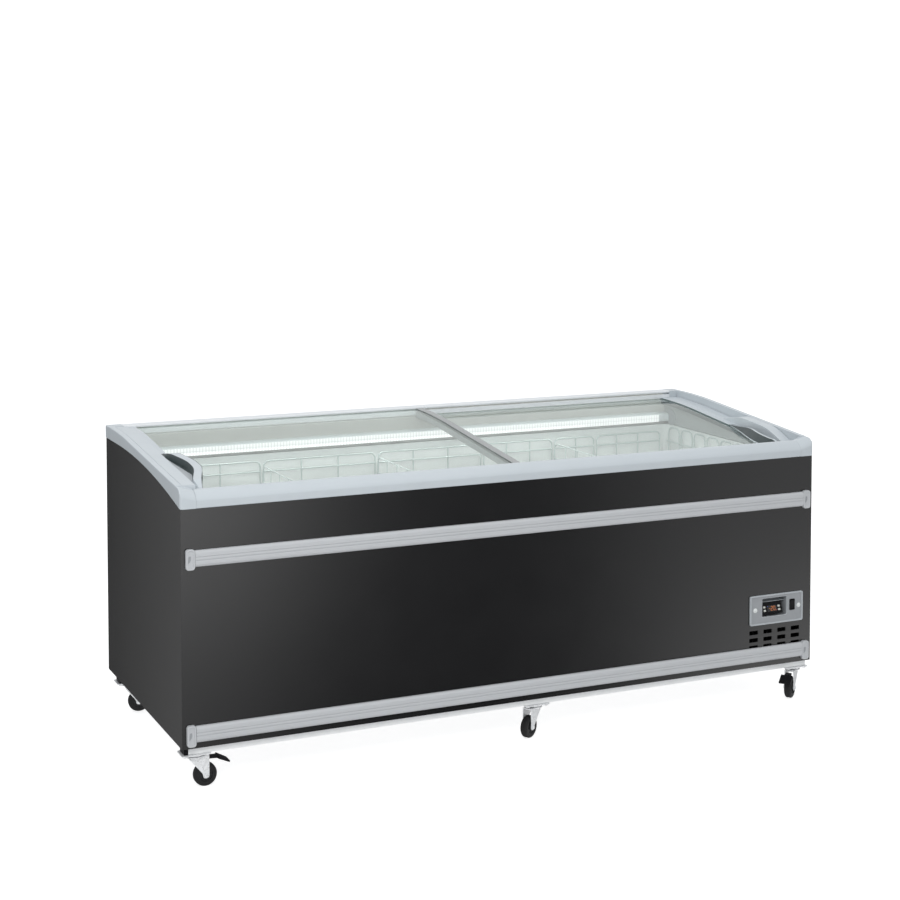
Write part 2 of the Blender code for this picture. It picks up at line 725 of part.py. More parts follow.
def control_bezel():
    """The control panel's plate with a sunk pocket for the thermostat and a switch hole."""
    front = FRONT_Y - 0.006
    rings = []
    for y, inset in ((FRONT_Y - GAP, 0.0), (front + 0.0015, 0.0), (front, 0.0015)):
        outline = rounded(
            (BEZEL_X[0] + inset, BEZEL_Z[0] + inset), (BEZEL_X[1] - inset, BEZEL_Z[1] - inset), 0.006
        )
        rings.append([(x, y, z) for x, z in outline])
    wall = 0.003
    pocket_back = FRONT_Y + RECESS_DEPTH
    pocket = box(
        (RECESS_X[0] - wall, FRONT_Y - 0.003, RECESS_Z[0] - wall),
        (RECESS_X[1] + wall, pocket_back + wall, RECESS_Z[1] + wall),
    )
    hollow = box((RECESS_X[0], -1.0, RECESS_Z[0]), (RECESS_X[1], pocket_back, RECESS_Z[1]))
    switch_hole = box((SWITCH_X[0], -1.0, SWITCH_Z[0]), (SWITCH_X[1], 0.0, SWITCH_Z[1]))
    field = box(
        (BEZEL_X[0] + 0.004, -1.0, BEZEL_Z[0] + 0.004),
        (BEZEL_X[1] - 0.004, front + 0.0018, BEZEL_Z[1] - 0.004),
    )
    tools = [("UNION", pocket), ("DIFFERENCE", hollow), ("DIFFERENCE", switch_hole),
             ("DIFFERENCE", field)]
    place("control_bezel", combined(loft(rings), tools), "bezel_plastic")


# The thermostat's face leans back: from its lower front edge to its upper rear edge
FACE_X = (0.8630, 0.9390)
FACE_LOW = Vector((0.0, FRONT_Y - 0.0040, 0.2890))
FACE_HIGH = Vector((0.0, FRONT_Y + 0.0090, 0.3255))
FACE_UP = (FACE_HIGH - FACE_LOW).normalized()
FACE_OUT = Vector((0.0, -FACE_UP.z, FACE_UP.y))
BUTTON_SIZE = (0.0080, 0.0060, 0.0026)
BUTTON_TRAVEL = 0.0010
BUTTONS = {
    "button_up": (0.8725, 0.0225),
    "button_down": (0.8725, 0.0115),
    "button_set": (0.9280, 0.0225),
    "button_standby": (0.9280, 0.0115),
}


def face_point(x, up, out=0.0):
    point = FACE_LOW + FACE_UP * up + FACE_OUT * out
    return Vector((x, point.y, point.z))


def face_block(size, low, high):
    """A block square to the leaning face, centred on its own origin."""
    half_x, half_up = size[0] / 2, size[1] / 2
    rings = []
    for out in (low, high):
        rings.append([
            Vector((sx * half_x, 0, 0)) + FACE_UP * su * half_up + FACE_OUT * out
            for sx, su in ((-1, -1), (1, -1), (1, 1), (-1, 1))
        ])
    return loft(rings)


def thermostat():
    back = FRONT_Y + RECESS_DEPTH - GAP
    outline = [
        (FACE_LOW.y, FACE_LOW.z), (back, FACE_LOW.z), (back, FACE_HIGH.z), (FACE_HIGH.y, FACE_HIGH.z)
    ]
    body = prism(outline, 0, *FACE_X)
    room = (BUTTON_SIZE[0] + 0.001, BUTTON_SIZE[1] + 0.001)
    pockets = [
        ("DIFFERENCE", moved(face_block(room, -0.0030, 0.0050), face_point(x, up)))
        for x, up in BUTTONS.values()
    ]
    place("thermostat", combined(body, pockets), "black_plastic")


def thermostat_buttons():
    for name, (x, up) in BUTTONS.items():
        mesh = face_block(BUTTON_SIZE, -0.0015, BUTTON_SIZE[2] - 0.0015)
        place(name, mesh, "button", face_point(x, up))


def switch_rocker():
    """A rocker pivoted across the control panel, resting with its lower end pressed."""
    half_z = (SWITCH_Z[1] - SWITCH_Z[0]) / 2 - 0.0012
    outline = [
        (-0.0005, -half_z), (0.0060, -half_z + 0.004), (0.0060, half_z - 0.004), (-0.0005, half_z),
        (-0.0022, half_z - 0.001), (-0.0008, 0.0), (-0.0022, -half_z + 0.001),
    ]
    half_x = (SWITCH_X[1] - SWITCH_X[0]) / 2 - 0.0006
    at = Vector((sum(SWITCH_X) / 2, FRONT_Y - 0.0025, sum(SWITCH_Z) / 2))
    mesh = prism(outline, 0, -half_x, half_x)
    place("switch_rocker", mesh, "black_plastic", at, turn=(ROCKER_TILT, 0, 0))


# Inside the tub


GRID_XS = (-0.970, -0.838, -0.701, -0.566, -0.554, -0.424, -0.295, -0.163, -0.151, -0.024, 0.105,
           0.229, 0.241, 0.328, 0.418, 0.505, 0.517, 0.600, 0.673)
GRID_STEP_XS = (0.685, 0.766, 0.853, 0.945, 0.957)
GRID_TOP = 0.7660
GRID_SECOND = 0.7330
GRID_MIDDLE = 0.590
GRID_REAR_Y = TUB_REAR_Y - LINER - 0.0140
GRID_FRONT_Y = TUB_FRONT_Y + LINER + 0.0140
GRID_END_X = TUB_END_X - LINER - 0.010
HALF_WIRE = 0.0016


def wire_grid(name, axis, at, a_wires, b_wires, gone=()):
    """Upright wires and level wires as one flat grid, each given by the places of its wires."""
    a_lines = [(a - HALF_WIRE, a + HALF_WIRE) for a in a_wires]
    b_lines = [(b - HALF_WIRE, b + HALF_WIRE) for b in b_wires]
    holes = [
        (a0[1], a1[0], b0[1], b1[0])
        for a0, a1 in zip(a_lines, a_lines[1:])
        for b0, b1 in zip(b_lines, b_lines[1:])
    ]
    mesh = pierced(
        axis, at - HALF_WIRE, at + HALF_WIRE,
        (a_lines[0][0], a_lines[-1][1]), (b_lines[0][0], b_lines[-1][1]), [*holes, *gone],
    )
    place(name, mesh, "wire")


def grids():
    """Four grids standing clear of the tub's walls, those along it cut away over the step."""
    lowest, over_step = TUB_FLOOR_Z + LINER + 0.004, STEP_Z + LINER + 0.006
    zs = (lowest, over_step, GRID_MIDDLE, GRID_SECOND, GRID_TOP)
    step = (
        GRID_STEP_XS[0] - HALF_WIRE, GRID_STEP_XS[-1] + HALF_WIRE,
        lowest - HALF_WIRE, over_step - HALF_WIRE,
    )
    xs = (*GRID_XS, *GRID_STEP_XS)
    wire_grid("rear_grid", 1, GRID_REAR_Y, xs, zs, [step])
    wire_grid("front_grid", 1, GRID_FRONT_Y, xs, zs, [step])
    ys = spread(GRID_FRONT_Y + 0.006, GRID_REAR_Y - 0.006, 9)
    wire_grid("left_grid", 0, -GRID_END_X, ys, zs)
    wire_grid("right_grid", 0, GRID_END_X, ys, zs[1:])


def led_lamp():
    """The lamp along the rear skirt, above the tub's rim."""
    back = FRAME_REAR_Y - RAIL_REAR_WIDTH - GAP
    front = back - 0.034
    outline = [
        (back, 0.7990), (front + 0.006, 0.7990), (front, 0.8040), (front, 0.8220),
        (front + 0.005, 0.8260), (back, 0.8310),
    ]
    place("led_lamp", prism(outline, 0, -SKIRT_X + 0.003, SKIRT_X - 0.003), "lamp")


# Casters


def caster_plate_mesh():
    """The bolted plate with the bearing ring under it."""
    wide, deep, thick = PLATE_SIZE
    plate = prism(rounded((-wide / 2, -deep / 2), (wide / 2, deep / 2), 0.008, 3), 2, -thick, 0.0)
    ring = turned([(-thick - 0.0060, 0.018), (-thick - 0.0045, 0.023), (-thick + 0.001, 0.025)], 20, 2)
    return combined(plate, [("UNION", ring)])


def caster_fork_mesh(crown_z):
    """The swivelling fork: a round crown and two tapered legs down to the axle."""
    crown = turned([(crown_z - 0.0035, 0.024), (crown_z - 0.0010, 0.025), (crown_z, 0.021)], 20, 2)
    inner, outer = WHEEL_WIDTH / 2 + 0.0015, WHEEL_WIDTH / 2 + 0.0037
    foot = [
        (TRAIL + 0.009 * cos(t), WHEEL_RADIUS + 0.009 * sin(t))
        for t in spread(radians(-150), radians(0), 6)
    ]
    leg = [(-0.017, crown_z - 0.001), *foot, (TRAIL + 0.009, crown_z - 0.001)]
    bridge = box((-0.010, -outer, crown_z - 0.0030), (TRAIL + 0.009, outer, crown_z - 0.0005))
    axle = moved(turned([(-outer - 0.003, 0.0040), (outer + 0.003, 0.0040)], 12), (TRAIL, 0, WHEEL_RADIUS))
    legs = [prism(leg, 1, *sorted((side * inner, side * outer))) for side in (-1, 1)]
    return combined(crown, [("UNION", mesh) for mesh in (bridge, *legs, axle)])


def wheel_mesh():
    half, radius, bore = WHEEL_WIDTH / 2, WHEEL_RADIUS, 0.0045
    outer = [
        (-half, 0.012), (-half + 0.002, 0.021), (-half, 0.0245), (-half + 0.0015, radius - 0.0035),
        (-half + 0.005, radius), (half - 0.005, radius), (half - 0.0015, radius - 0.0035),
        (half, 0.0245), (half - 0.002, 0.021), (half, 0.012),
    ]
    body = turned(outer, 28)
    hole = turned([(-0.1, bore), (0.1, bore)], 12)
    return combined(body, [("DIFFERENCE", hole)])


def brake_pedal_mesh():
    """A pressed lever with a wide foot pad, drawn from its pivot."""
    arm = prism(
        [(-0.003, -0.0035), (0.018, -0.0045), (0.052, -0.0170), (0.054, -0.0125),
         (0.030, 0.0010), (0.018, 0.0030), (-0.003, 0.0035)],
        1, -0.009, 0.009,
    )
    pad = prism(
        [(0.020, -0.0035), (0.054, -0.0185), (PEDAL_LENGTH, -0.0140), (0.024, 0.0030)],
        1, -PEDAL_HALF_WIDTH, PEDAL_HALF_WIDTH,
    )
    return combined(arm, [("UNION", pad)])


def casters():
    crown_z = PLATE_TOP - PLATE_SIZE[2] - 0.0064
    plate, fork, wheel = caster_plate_mesh(), caster_fork_mesh(crown_z), wheel_mesh()
    for mesh, look in ((plate, "zinc"), (fork, "zinc"), (wheel, "black_rubber")):
        mesh.materials.append(material("caster_" + look, look))
    pedal = brake_pedal_mesh()
    for name, (x, y, turn, brake) in CASTERS.items():
        place(name + "_caster_plate", plate, "zinc", (x, y, PLATE_TOP))
        swivel = bpy.data.objects.new(name + "_caster", None)
        bpy.context.collection.objects.link(swivel)
        swivel.location = (x, y, 0)
        swivel.rotation_euler = (0, 0, turn)
        place(name + "_caster_fork", fork, "zinc", (0, 0, 0), swivel)
        place(name + "_caster_wheel", wheel, "black_rubber", (TRAIL, 0, WHEEL_RADIUS), swivel)
        if brake:
            place(name + "_brake_pedal", pedal, "black_plastic", (PEDAL_PIVOT, 0, PEDAL_PIVOT_Z), swivel)


def build():
    clear_scene()
    side_panel("left_side_panel", -1)
    side_panel("right_side_panel", 1)
    front_panel()
    rear_panel()
    base_pan()
    base_rail("front_base_rail", FRONT_RAIL_Y, 1)
    base_rail("rear_base_rail", REAR_RAIL_Y, -1)
    insulation()
    inner_liner()
    evaporator_coil()
    compressor()
    condenser()
    front_frame_rail()
    rear_frame_rail()
    end_frame("left_end_frame", -1, 0.0)
    end_frame("right_end_frame", 1, LID_STEP)
    lids()
    for level, (low, high) in BUMPER_ZS.items():
        bumper_rail(level + "_bumper", low, high)
        bumper_cap(level + "_bumper_left_cap", -1, *CAP_ZS[level])
        bumper_cap(level + "_bumper_right_cap", 1, *CAP_ZS[level])
    control_bezel()
    thermostat()
    thermostat_buttons()
    switch_rocker()
    grids()
    led_lamp()
    casters()


build()
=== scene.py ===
import json
from math import atan2, copysign, cos, pi, radians, sin, sqrt

import bmesh
import bpy
from mathutils import Matrix, Vector

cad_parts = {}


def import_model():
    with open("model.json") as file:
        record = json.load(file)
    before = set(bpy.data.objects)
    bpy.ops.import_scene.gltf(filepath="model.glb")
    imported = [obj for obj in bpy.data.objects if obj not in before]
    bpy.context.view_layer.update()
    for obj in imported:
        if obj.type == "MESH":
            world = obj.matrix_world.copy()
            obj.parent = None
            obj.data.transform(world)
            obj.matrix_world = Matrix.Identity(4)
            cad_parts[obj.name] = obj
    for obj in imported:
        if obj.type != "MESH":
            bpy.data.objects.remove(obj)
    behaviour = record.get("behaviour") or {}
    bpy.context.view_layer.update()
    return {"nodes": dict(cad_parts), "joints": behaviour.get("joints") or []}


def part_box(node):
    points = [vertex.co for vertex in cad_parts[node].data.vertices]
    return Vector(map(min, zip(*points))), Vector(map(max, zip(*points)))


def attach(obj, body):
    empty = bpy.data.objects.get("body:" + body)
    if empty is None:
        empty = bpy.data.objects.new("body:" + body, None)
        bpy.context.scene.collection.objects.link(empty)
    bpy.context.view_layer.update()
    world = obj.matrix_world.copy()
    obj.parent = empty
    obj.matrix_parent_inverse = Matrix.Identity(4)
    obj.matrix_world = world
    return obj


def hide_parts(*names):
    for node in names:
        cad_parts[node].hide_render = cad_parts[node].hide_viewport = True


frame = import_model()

JOINTS = {joint["name"]: joint for joint in frame["joints"]}
MM = 0.001

# Sizes of the CAD model, from its nodes' boxes
FRONT_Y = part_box("front_panel")[0].y
REAR_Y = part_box("rear_panel")[1].y
SIDE_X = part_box("front_panel")[1].x
END_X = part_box("right_end_frame")[1].x
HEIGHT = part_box("rear_frame_rail")[1].z
FRAME_FRONT_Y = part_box("front_frame_rail")[0].y
RAIL_BACK_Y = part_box("front_frame_rail")[1].y
REAR_RAIL_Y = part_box("rear_frame_rail")[0].y
FRAME_REAR_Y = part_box("rear_frame_rail")[1].y
CABINET_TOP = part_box("front_frame_rail")[0].z
TUB_LOW, TUB_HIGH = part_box("inner_liner")
# Sizes that the boxes don't show, as in the CAD. SPARE keeps rounded ends inside the CAD's box
GAP, SPARE, SHEET = 0.0004, 0.00003, 0.0008
SEAM_X, SKIRT_X, SKIRT_BOTTOM = 1.005, 0.985, 0.7905
PANEL_TOP_REAR = 0.866
STRIP_WIDTH = 0.0175
GLASS, GROOVE, TRIM_LIP = 0.004, 0.013, 0.0018
LID_EDGE_X = END_X - STRIP_WIDTH - 0.001
LID_STEP = 0.020
STEP_X, STEP_Z = 0.700, 0.445
TUB_FRONT_Y, TUB_REAR_Y = FRONT_Y + 0.067, FRONT_Y + 0.783
# The curves of the frame and the lids, and the stretches of depth that a handle's parts take
LEVEL_Y, FRAME_ARC = FRONT_Y + 0.7845, (0.200, 2.300)
LID_REAR_Z, LID_ARC_Y, LID_ARC = 0.898, FRONT_Y + 0.8105, (0.240, 2.200)
FRONT_ROUND, CORNER_ROUND, REAR_ROUND, NOSE = 0.026, 0.007, 0.004, 0.007
RAIL_LOW_Z, RAIL_DEPTH, RAIL_RISE = 0.8140, 0.034, 0.0235
BAND_LEVEL_Y = FRONT_Y + 0.695
SCOOPS = {"left": (0.4405, 0.2405, 0.2200, 0.0355), "right": (0.3600, 0.1300, 0.1000, 0.0355)}
LIPS = {"left": (0.4405, 0.3405, 0.0905, 0.0405), "right": (0.3700, 0.2000, 0.0905, 0.0405)}
LIP_LEANS = {"left": (0.0000, 0.0240), "right": (0.0205, 0.0100)}
HUMP = (0.4605, 0.3155, 0.2105, 0.0355)
LIP_HEIGHT, STRIP_HEIGHT, LIP_THICK = 0.021, 0.003, 0.006
# The control panel's openings, and the thermostat's leaning face
POCKET = ((0.860, 0.281), (0.955, 0.341))
SWITCH = ((0.9665, 0.2945), (0.9845, 0.3280))
FACE_LOW, FACE_HIGH = Vector((0, FRONT_Y - 0.0040, 0.2890)), Vector((0, FRONT_Y + 0.0090, 0.3255))
FACE_UP = (FACE_HIGH - FACE_LOW).normalized()
FACE_OUT = Vector((0, -FACE_UP.z, FACE_UP.y))
# The photograph's camera, fitted to the cabinet's corners
CAMERA_AT = (-2.3510, -5.0268, 1.7561)
CAMERA_TURN, CAMERA_DIP = radians(24.568), radians(3.063)
CAMERA_LENS, CAMERA_SHIFT = 69.98, -0.2222


def clamp(value, low=0.0, high=1.0):
    return min(max(value, low), high)


def spread(low, high, count):
    return [low + (high - low) * i / (count - 1) for i in range(count)]


def smooth_step(value, low, high):
    t = clamp((value - low) / (high - low))
    return t * t * (3 - 2 * t)


def swell(y, stretch):
    """From 0 to 1 and back along a stretch of depth."""
    depth = y - FRONT_Y
    return smooth_step(depth, *stretch[:2]) * smooth_step(depth, stretch[3], stretch[2])


def fallen(y, start, span, radius):
    """How far a curve has fallen in front of start: an arc over a span, then its tangent."""
    run = max(start - y, 0.0)
    bend = min(run, span)
    return bend * bend / (2 * radius) + (run - bend) * span / radius


def frame_top(y):
    height = HEIGHT - SPARE - fallen(y, LEVEL_Y, *FRAME_ARC)
    inset = FRONT_ROUND - clamp(y - FRAME_FRONT_Y, 0.0, FRONT_ROUND)
    return height - FRONT_ROUND + sqrt(max(FRONT_ROUND**2 - inset**2, 0.0))


def band_low(y):
    run = max(BAND_LEVEL_Y - y, 0.0) / (BAND_LEVEL_Y - FRAME_FRONT_Y)
    return PANEL_TOP_REAR - (PANEL_TOP_REAR - CABINET_TOP) * run * run


def glass_top(y, drop=0.0):
    return LID_REAR_Z - drop - fallen(y, LID_ARC_Y, *LID_ARC)


def rail_top(y):
    """The front rail's top: a rounded lower edge, then a slope to the crest."""
    depth = clamp(y - FRAME_FRONT_Y, 0.0, RAIL_DEPTH)
    edge = clamp(depth / NOSE)
    rise = RAIL_RISE * sin(depth / RAIL_DEPTH * pi / 2)
    return RAIL_LOW_Z + rise - 0.0045 * (1 - sqrt(1 - (1 - edge) ** 2))


# Outlines


def mm(*rows):
    return [tuple(value * MM for value in row) for row in rows]


def near(a, b, *corners):
    """Corners for soften, each in mm from a place."""
    return [(a + u, b + v, cut) for u, v, cut in mm(*corners)]


def rect(a0, a1, b0, b1):
    return [(a0, b0), (a1, b0), (a1, b1), (a0, b1)]


def soften(corners, steps=3):
    """An outline with its corners rounded. Each corner is (a, b, cut length along its edges)."""
    points = []
    for i, (a, b, cut) in enumerate(corners):
        here = Vector((a, b))
        if not cut:
            points.append((a, b))
            continue
        arms = []
        for j in (i - 1, (i + 1) % len(corners)):
            arm = Vector(corners[j][:2]) - here
            arms.append(here + arm.normalized() * min(cut, 0.45 * arm.length))
        for t in spread(0, 1, steps + 1):
            points.append(tuple(arms[0] * (1 - t) ** 2 + here * 2 * t * (1 - t) + arms[1] * t * t))
    return points


def rounded(low, high, radius, steps=5):
    """The outline of a rectangle with round corners."""
    right, left, top, bottom = high[0] - radius, low[0] + radius, high[1] - radius, low[1] + radius
    return [
        (a + radius * cos(radians(turn + 90 * i / steps)), b + radius * sin(radians(turn + 90 * i / steps)))
        for a, b, turn in ((right, top, 0), (left, top, 90), (left, bottom, 180), (right, bottom, 270))
        for i in range(steps + 1)
    ]


def grown(box, by, radius, steps=6):
    """A rounded rectangle that is larger than a box by this much on each side."""
    return rounded([v - by for v in box[0]], [v + by for v in box[1]], radius, steps)


# Shapes

# Edges that turn by more degrees than this stay sharp
SHARP = 35


def to_mesh(bm, sharp=None):
    mesh = bpy.data.meshes.new("shape")
    bm.to_mesh(mesh)
    bm.free()
    if sharp:
        mesh.shade_smooth()
        mesh.set_sharp_from_angle(angle=radians(sharp))
    return mesh


def meshed(bm, sharp=SHARP):
    bmesh.ops.recalc_face_normals(bm, faces=bm.faces)
    return to_mesh(bm, sharp)


def loft(rings, cyclic=False, sharp=SHARP):
    """A closed body through rings of equal length: capped at both ends, or joined end to end."""
    bm = bmesh.new()
    loops = [[bm.verts.new(point) for point in ring] for ring in rings]
    for low, high in zip(loops, loops[1:] + (loops[:1] if cyclic else [])):
        for i in range(len(low)):
            j = (i + 1) % len(low)
            bm.faces.new((low[i], low[j], high[j], high[i]))
    if not cyclic:
        bm.faces.new(loops[0])
        bm.faces.new(loops[-1])
    return meshed(bm, sharp)


def bar(outline, x_low, x_high):
    """A (y, z) outline drawn along X."""
    return loft([[(x, y, z) for y, z in outline] for x in (x_low, x_high)])


def stack(outlines):
    """A body from (y, outline in x and z) layers, as a part standing on the front panel."""
    return loft([[(x, y, z) for x, z in outline] for y, outline in outlines])


def turned(profile, steps=40, axis=2):
    """A solid of revolution from points in mm: distance along the axis, then radius."""
    first, second = [i for i in range(3) if i != axis]
    rings = []
    for along, radius in mm(*profile):
        ring = [[along] * 3 for _ in range(steps)]
        for i, point in enumerate(ring):
            point[first] = radius * cos(2 * pi * i / steps)
            point[second] = radius * sin(2 * pi * i / steps)
        rings.append(ring)
    return loft(rings)


def spun(profile, steps):
    """A ring round the Y axis from a closed profile of (y, radius) points."""
    turns = [2 * pi * i / steps for i in range(steps)]
    return loft([[(r * cos(t), a, r * sin(t)) for a, r in profile] for t in turns], cyclic=True)


def moved(mesh, offset=(0, 0, 0), turn=0.0, axis="Z"):
    mesh.transform(Matrix.Translation(offset) @ Matrix.Rotation(turn, 4, axis))
    return mesh


def merged(*meshes):
    """Several meshes as one."""
    bm = bmesh.new()
    for mesh in meshes:
        bm.from_mesh(mesh)
        bpy.data.meshes.remove(mesh)
    return to_mesh(bm)


def linked(name, data):
    obj = bpy.data.objects.new(name, data)
    bpy.context.scene.collection.objects.link(obj)
    return obj


def evaluated(obj):
    """The mesh of an object with its modifiers applied."""
    bpy.context.view_layer.update()
    return bpy.data.meshes.new_from_object(obj.evaluated_get(bpy.context.evaluated_depsgraph_get()))


def line(curve, points, closed):
    spline = curve.splines.new("POLY")
    spline.points.add(len(points) - 1)
    for point, place in zip(spline.points, points):
        point.co = (*place, 1)
    spline.use_cyclic_u = closed
    return spline


def sheet(outer, holes, middle_y, thickness, edge=0.0002):
    """An upright sheet facing -Y, with holes, its edges slightly rounded."""
    curve = bpy.data.curves.new("sheet", "CURVE")
    curve.dimensions, curve.fill_mode = "2D", "BOTH"
    curve.extrude, curve.bevel_depth, curve.offset = thickness / 2 - edge, edge, -edge
    curve.bevel_resolution = 1
    for outline in (outer, *holes):
        line(curve, [(x, z, 0) for x, z in outline], True)
    holder = linked("sheet", curve)
    bm = bmesh.new()
    bm.from_mesh(evaluated(holder))
    bpy.data.objects.remove(holder)
    bmesh.ops.remove_doubles(bm, verts=bm.verts, dist=1e-6)
    return moved(meshed(bm), (0, middle_y, 0), pi / 2, "X")


def ring_body(outer, inner, y, *section):
    """A frame between two outlines of equal length, from (share inward, mm behind y) points."""
    return loft([
        [(ax + (bx - ax) * t, y + back * MM, az + (bz - az) * t) for t, back in section]
        for (ax, az), (bx, bz) in zip(outer, inner)
    ], cyclic=True)


def placed(obj, look, body, stands_for):
    """The piece's material, the body it rides on, and the CAD node it stands for."""
    obj.data.materials.clear()
    obj.data.materials.append(MATERIALS[look])
    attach(obj, body)
    if stands_for:
        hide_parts(stands_for)
    return obj


def finish_surface(obj, edge):
    if edge:
        bevel = obj.modifiers.new("edges", "BEVEL")
        bevel.width, bevel.segments, bevel.limit_method = edge, 2, "ANGLE"
        bevel.angle_limit = radians(40)
    obj.modifiers.new("shading", "WEIGHTED_NORMAL").keep_sharp = True


def piece(name, mesh, look, body="cabinet", stands_for=None, edge=0.0):
    """A new object in its place, riding on a body."""
    obj = linked(name, mesh)
    finish_surface(obj, edge)
    return placed(obj, look, body, stands_for)


def wires(name, paths, radius, stands_for=None):
    """Round wires along paths of points, as one piece."""
    curve = bpy.data.curves.new(name, "CURVE")
    curve.dimensions, curve.fill_mode, curve.use_fill_caps = "3D", "FULL", True
    curve.bevel_depth, curve.bevel_resolution = radius, 3
    for path, closed in paths:
        line(curve, path, closed).use_smooth = True
    placed(linked(name, curve), "wire", "cabinet", stands_for)


# Materials

# Most of a noise texture's values lie between these
NOISE_RANGE = (0.25, 0.75)


def add(tree, kind, inputs=None, **settings):
    """A shader node. Each input takes a value, another node's output, or a node for its first."""
    made = tree.nodes.new("ShaderNode" + kind)
    for key, value in settings.items():
        setattr(made, key, value)
    for key, value in (inputs or {}).items():
        if isinstance(value, bpy.types.Node):
            value = value.outputs[0]
        if isinstance(value, bpy.types.NodeSocket):
            tree.links.new(value, made.inputs[key])
        else:
            made.inputs[key].default_value = value
    return made


class Look:
    """A material whose colour, roughness and bump come from noise in the object's own axes."""

    def __init__(self, name, colour, rough, metal=0.0, specular=0.5):
        self.mat = bpy.data.materials.new(name)
        self.mat.use_nodes = True
        self.shader = self.mat.node_tree.nodes["Principled BSDF"]
        self.shader.inputs["Metallic"].default_value = metal
        self.shader.inputs["Specular IOR Level"].default_value = specular
        self.colour, self.rough = colour, rough
        self.where = self.add("TexCoord").outputs["Object"]
        self.height = self.shade = None

    def add(self, kind, inputs=None, **settings):
        return add(self.mat.node_tree, kind, inputs, **settings)

    def feed(self, slot, source):
        self.mat.node_tree.links.new(source.outputs[0], self.shader.inputs[slot])

    def noise(self, scale, detail=3.0, stretch=(1, 1, 1)):
        mapping = self.add("Mapping", {"Vector": self.where, "Scale": stretch})
        return self.add("TexNoise", {"Vector": mapping, "Scale": scale, "Detail": detail})

    def range(self, source, *limits):
        slots = dict(zip(("From Min", "From Max", "To Min", "To Max"), limits))
        return self.add("MapRange", {"Value": source, **slots})

    def shaded(self, factor):
        if self.shade is not None:
            factor = self.add("Math", {0: self.shade, 1: factor}, operation="MULTIPLY")
        self.shade = factor
        return self

    def tint(self, scale, amount, stretch=(1, 1, 1)):
        """Lightness that varies by up to this share, on top of what is there."""
        noise = self.noise(scale, 3.0, stretch)
        return self.shaded(self.range(noise, *NOISE_RANGE, 1 - amount, 1 + amount))

    def darker_below(self, low, high, darkest):
        """Darker below a height, as near the floor."""
        split = self.add("SeparateXYZ", {0: self.where})
        return self.shaded(self.range(split.outputs["Z"], low, high, darkest, 1.0))

    def bump(self, scale, depth, detail=2.0, stretch=(1, 1, 1)):
        """Relief of this depth in mm."""
        inputs = {"Distance": depth * MM, "Height": self.noise(scale, detail, stretch)}
        if self.height is not None:
            inputs["Normal"] = self.height
        self.height = self.add("Bump", inputs)
        return self

    def done(self, rough_scale, rough_amount, rough_stretch=(1, 1, 1), edge_highlight=None):
        """The finished material. Its last argument paints a highlight along the edges: their width in mm, their
        lighter colour and their share.
        """
        colour = self.add("VectorMath", {0: self.colour, "Scale": self.shade}, operation="SCALE").outputs[0]
        # Painted highlight: edges made lighter than the surface.
        if edge_highlight:
            soft = self.add("Bevel", {"Radius": edge_highlight[0] * MM}, samples=4)
            flat = self.add("NewGeometry").outputs["Normal"]
            facing = self.add("VectorMath", {0: soft, 1: flat}, operation="DOT_PRODUCT").outputs["Value"]
            edge = self.range(facing, 0.97, 0.80, 0.0, edge_highlight[2])
            highlighted = {"Factor": edge, "A": colour, "B": (*edge_highlight[1], 1)}
            colour = self.add("Mix", highlighted, data_type="RGBA").outputs["Result"]
        self.mat.node_tree.links.new(colour, self.shader.inputs["Base Color"])
        noise = self.noise(rough_scale, 3.0, rough_stretch)
        limits = self.rough - rough_amount, self.rough + rough_amount
        self.feed("Roughness", self.range(noise, *NOISE_RANGE, *limits))
        if self.height is not None:
            self.feed("Normal", self.height)
        self.mat.diffuse_color = (*self.colour, 1)
        return self.mat


def glass_look(name, tint, gloss_rough):
    """Clear sheet glass: what passes through it is tinted, and it mirrors more at a low angle."""
    mat = bpy.data.materials.new(name)
    mat.use_nodes = True
    tree = mat.node_tree
    tree.nodes.clear()
    smears = add(tree, "TexNoise", {"Vector": add(tree, "TexCoord").outputs["Object"], "Scale": 7.0})
    rough = add(tree, "MapRange", {"Value": smears, "To Min": gloss_rough, "To Max": gloss_rough * 3})
    gloss = add(tree, "BsdfGlossy", {"Color": (0.96, 1.0, 0.98, 1), "Roughness": rough})
    backfacing = add(tree, "NewGeometry").outputs["Backfacing"]
    outside = add(tree, "Math", {0: 1.0, 1: backfacing}, operation="SUBTRACT")
    fresnel = add(tree, "Fresnel", {"IOR": 1.45})
    share = add(tree, "Math", {0: outside, 1: fresnel}, operation="MULTIPLY")
    clear = add(tree, "BsdfTransparent", {"Color": (*tint, 1)})
    add(tree, "OutputMaterial", {"Surface": add(tree, "MixShader", {0: share, 1: clear, 2: gloss})})
    mat.diffuse_color = (*tint, 0.3)
    return mat


def glowing(name, colour, strength, dots=None):
    """A lit surface. Dots gives the pitch of the darker lines between light sources behind it."""
    look = Look(name, [0.3 * c for c in colour], 0.35)
    mat = look.tint(60.0, 0.04).done(25.0, 0.05)
    look.shader.inputs["Emission Color"].default_value = (*colour, 1)
    look.shader.inputs["Emission Strength"].default_value = strength
    if dots:
        along = look.add("SeparateXYZ", {0: look.where}).outputs["X"]
        phase = look.add("Math", {0: along, 1: 2 * pi / dots}, operation="MULTIPLY")
        wave = look.add("Math", {0: phase}, operation="SINE")
        look.feed("Emission Strength", look.range(wave, -1, 1, strength * 0.70, strength))
    return mat


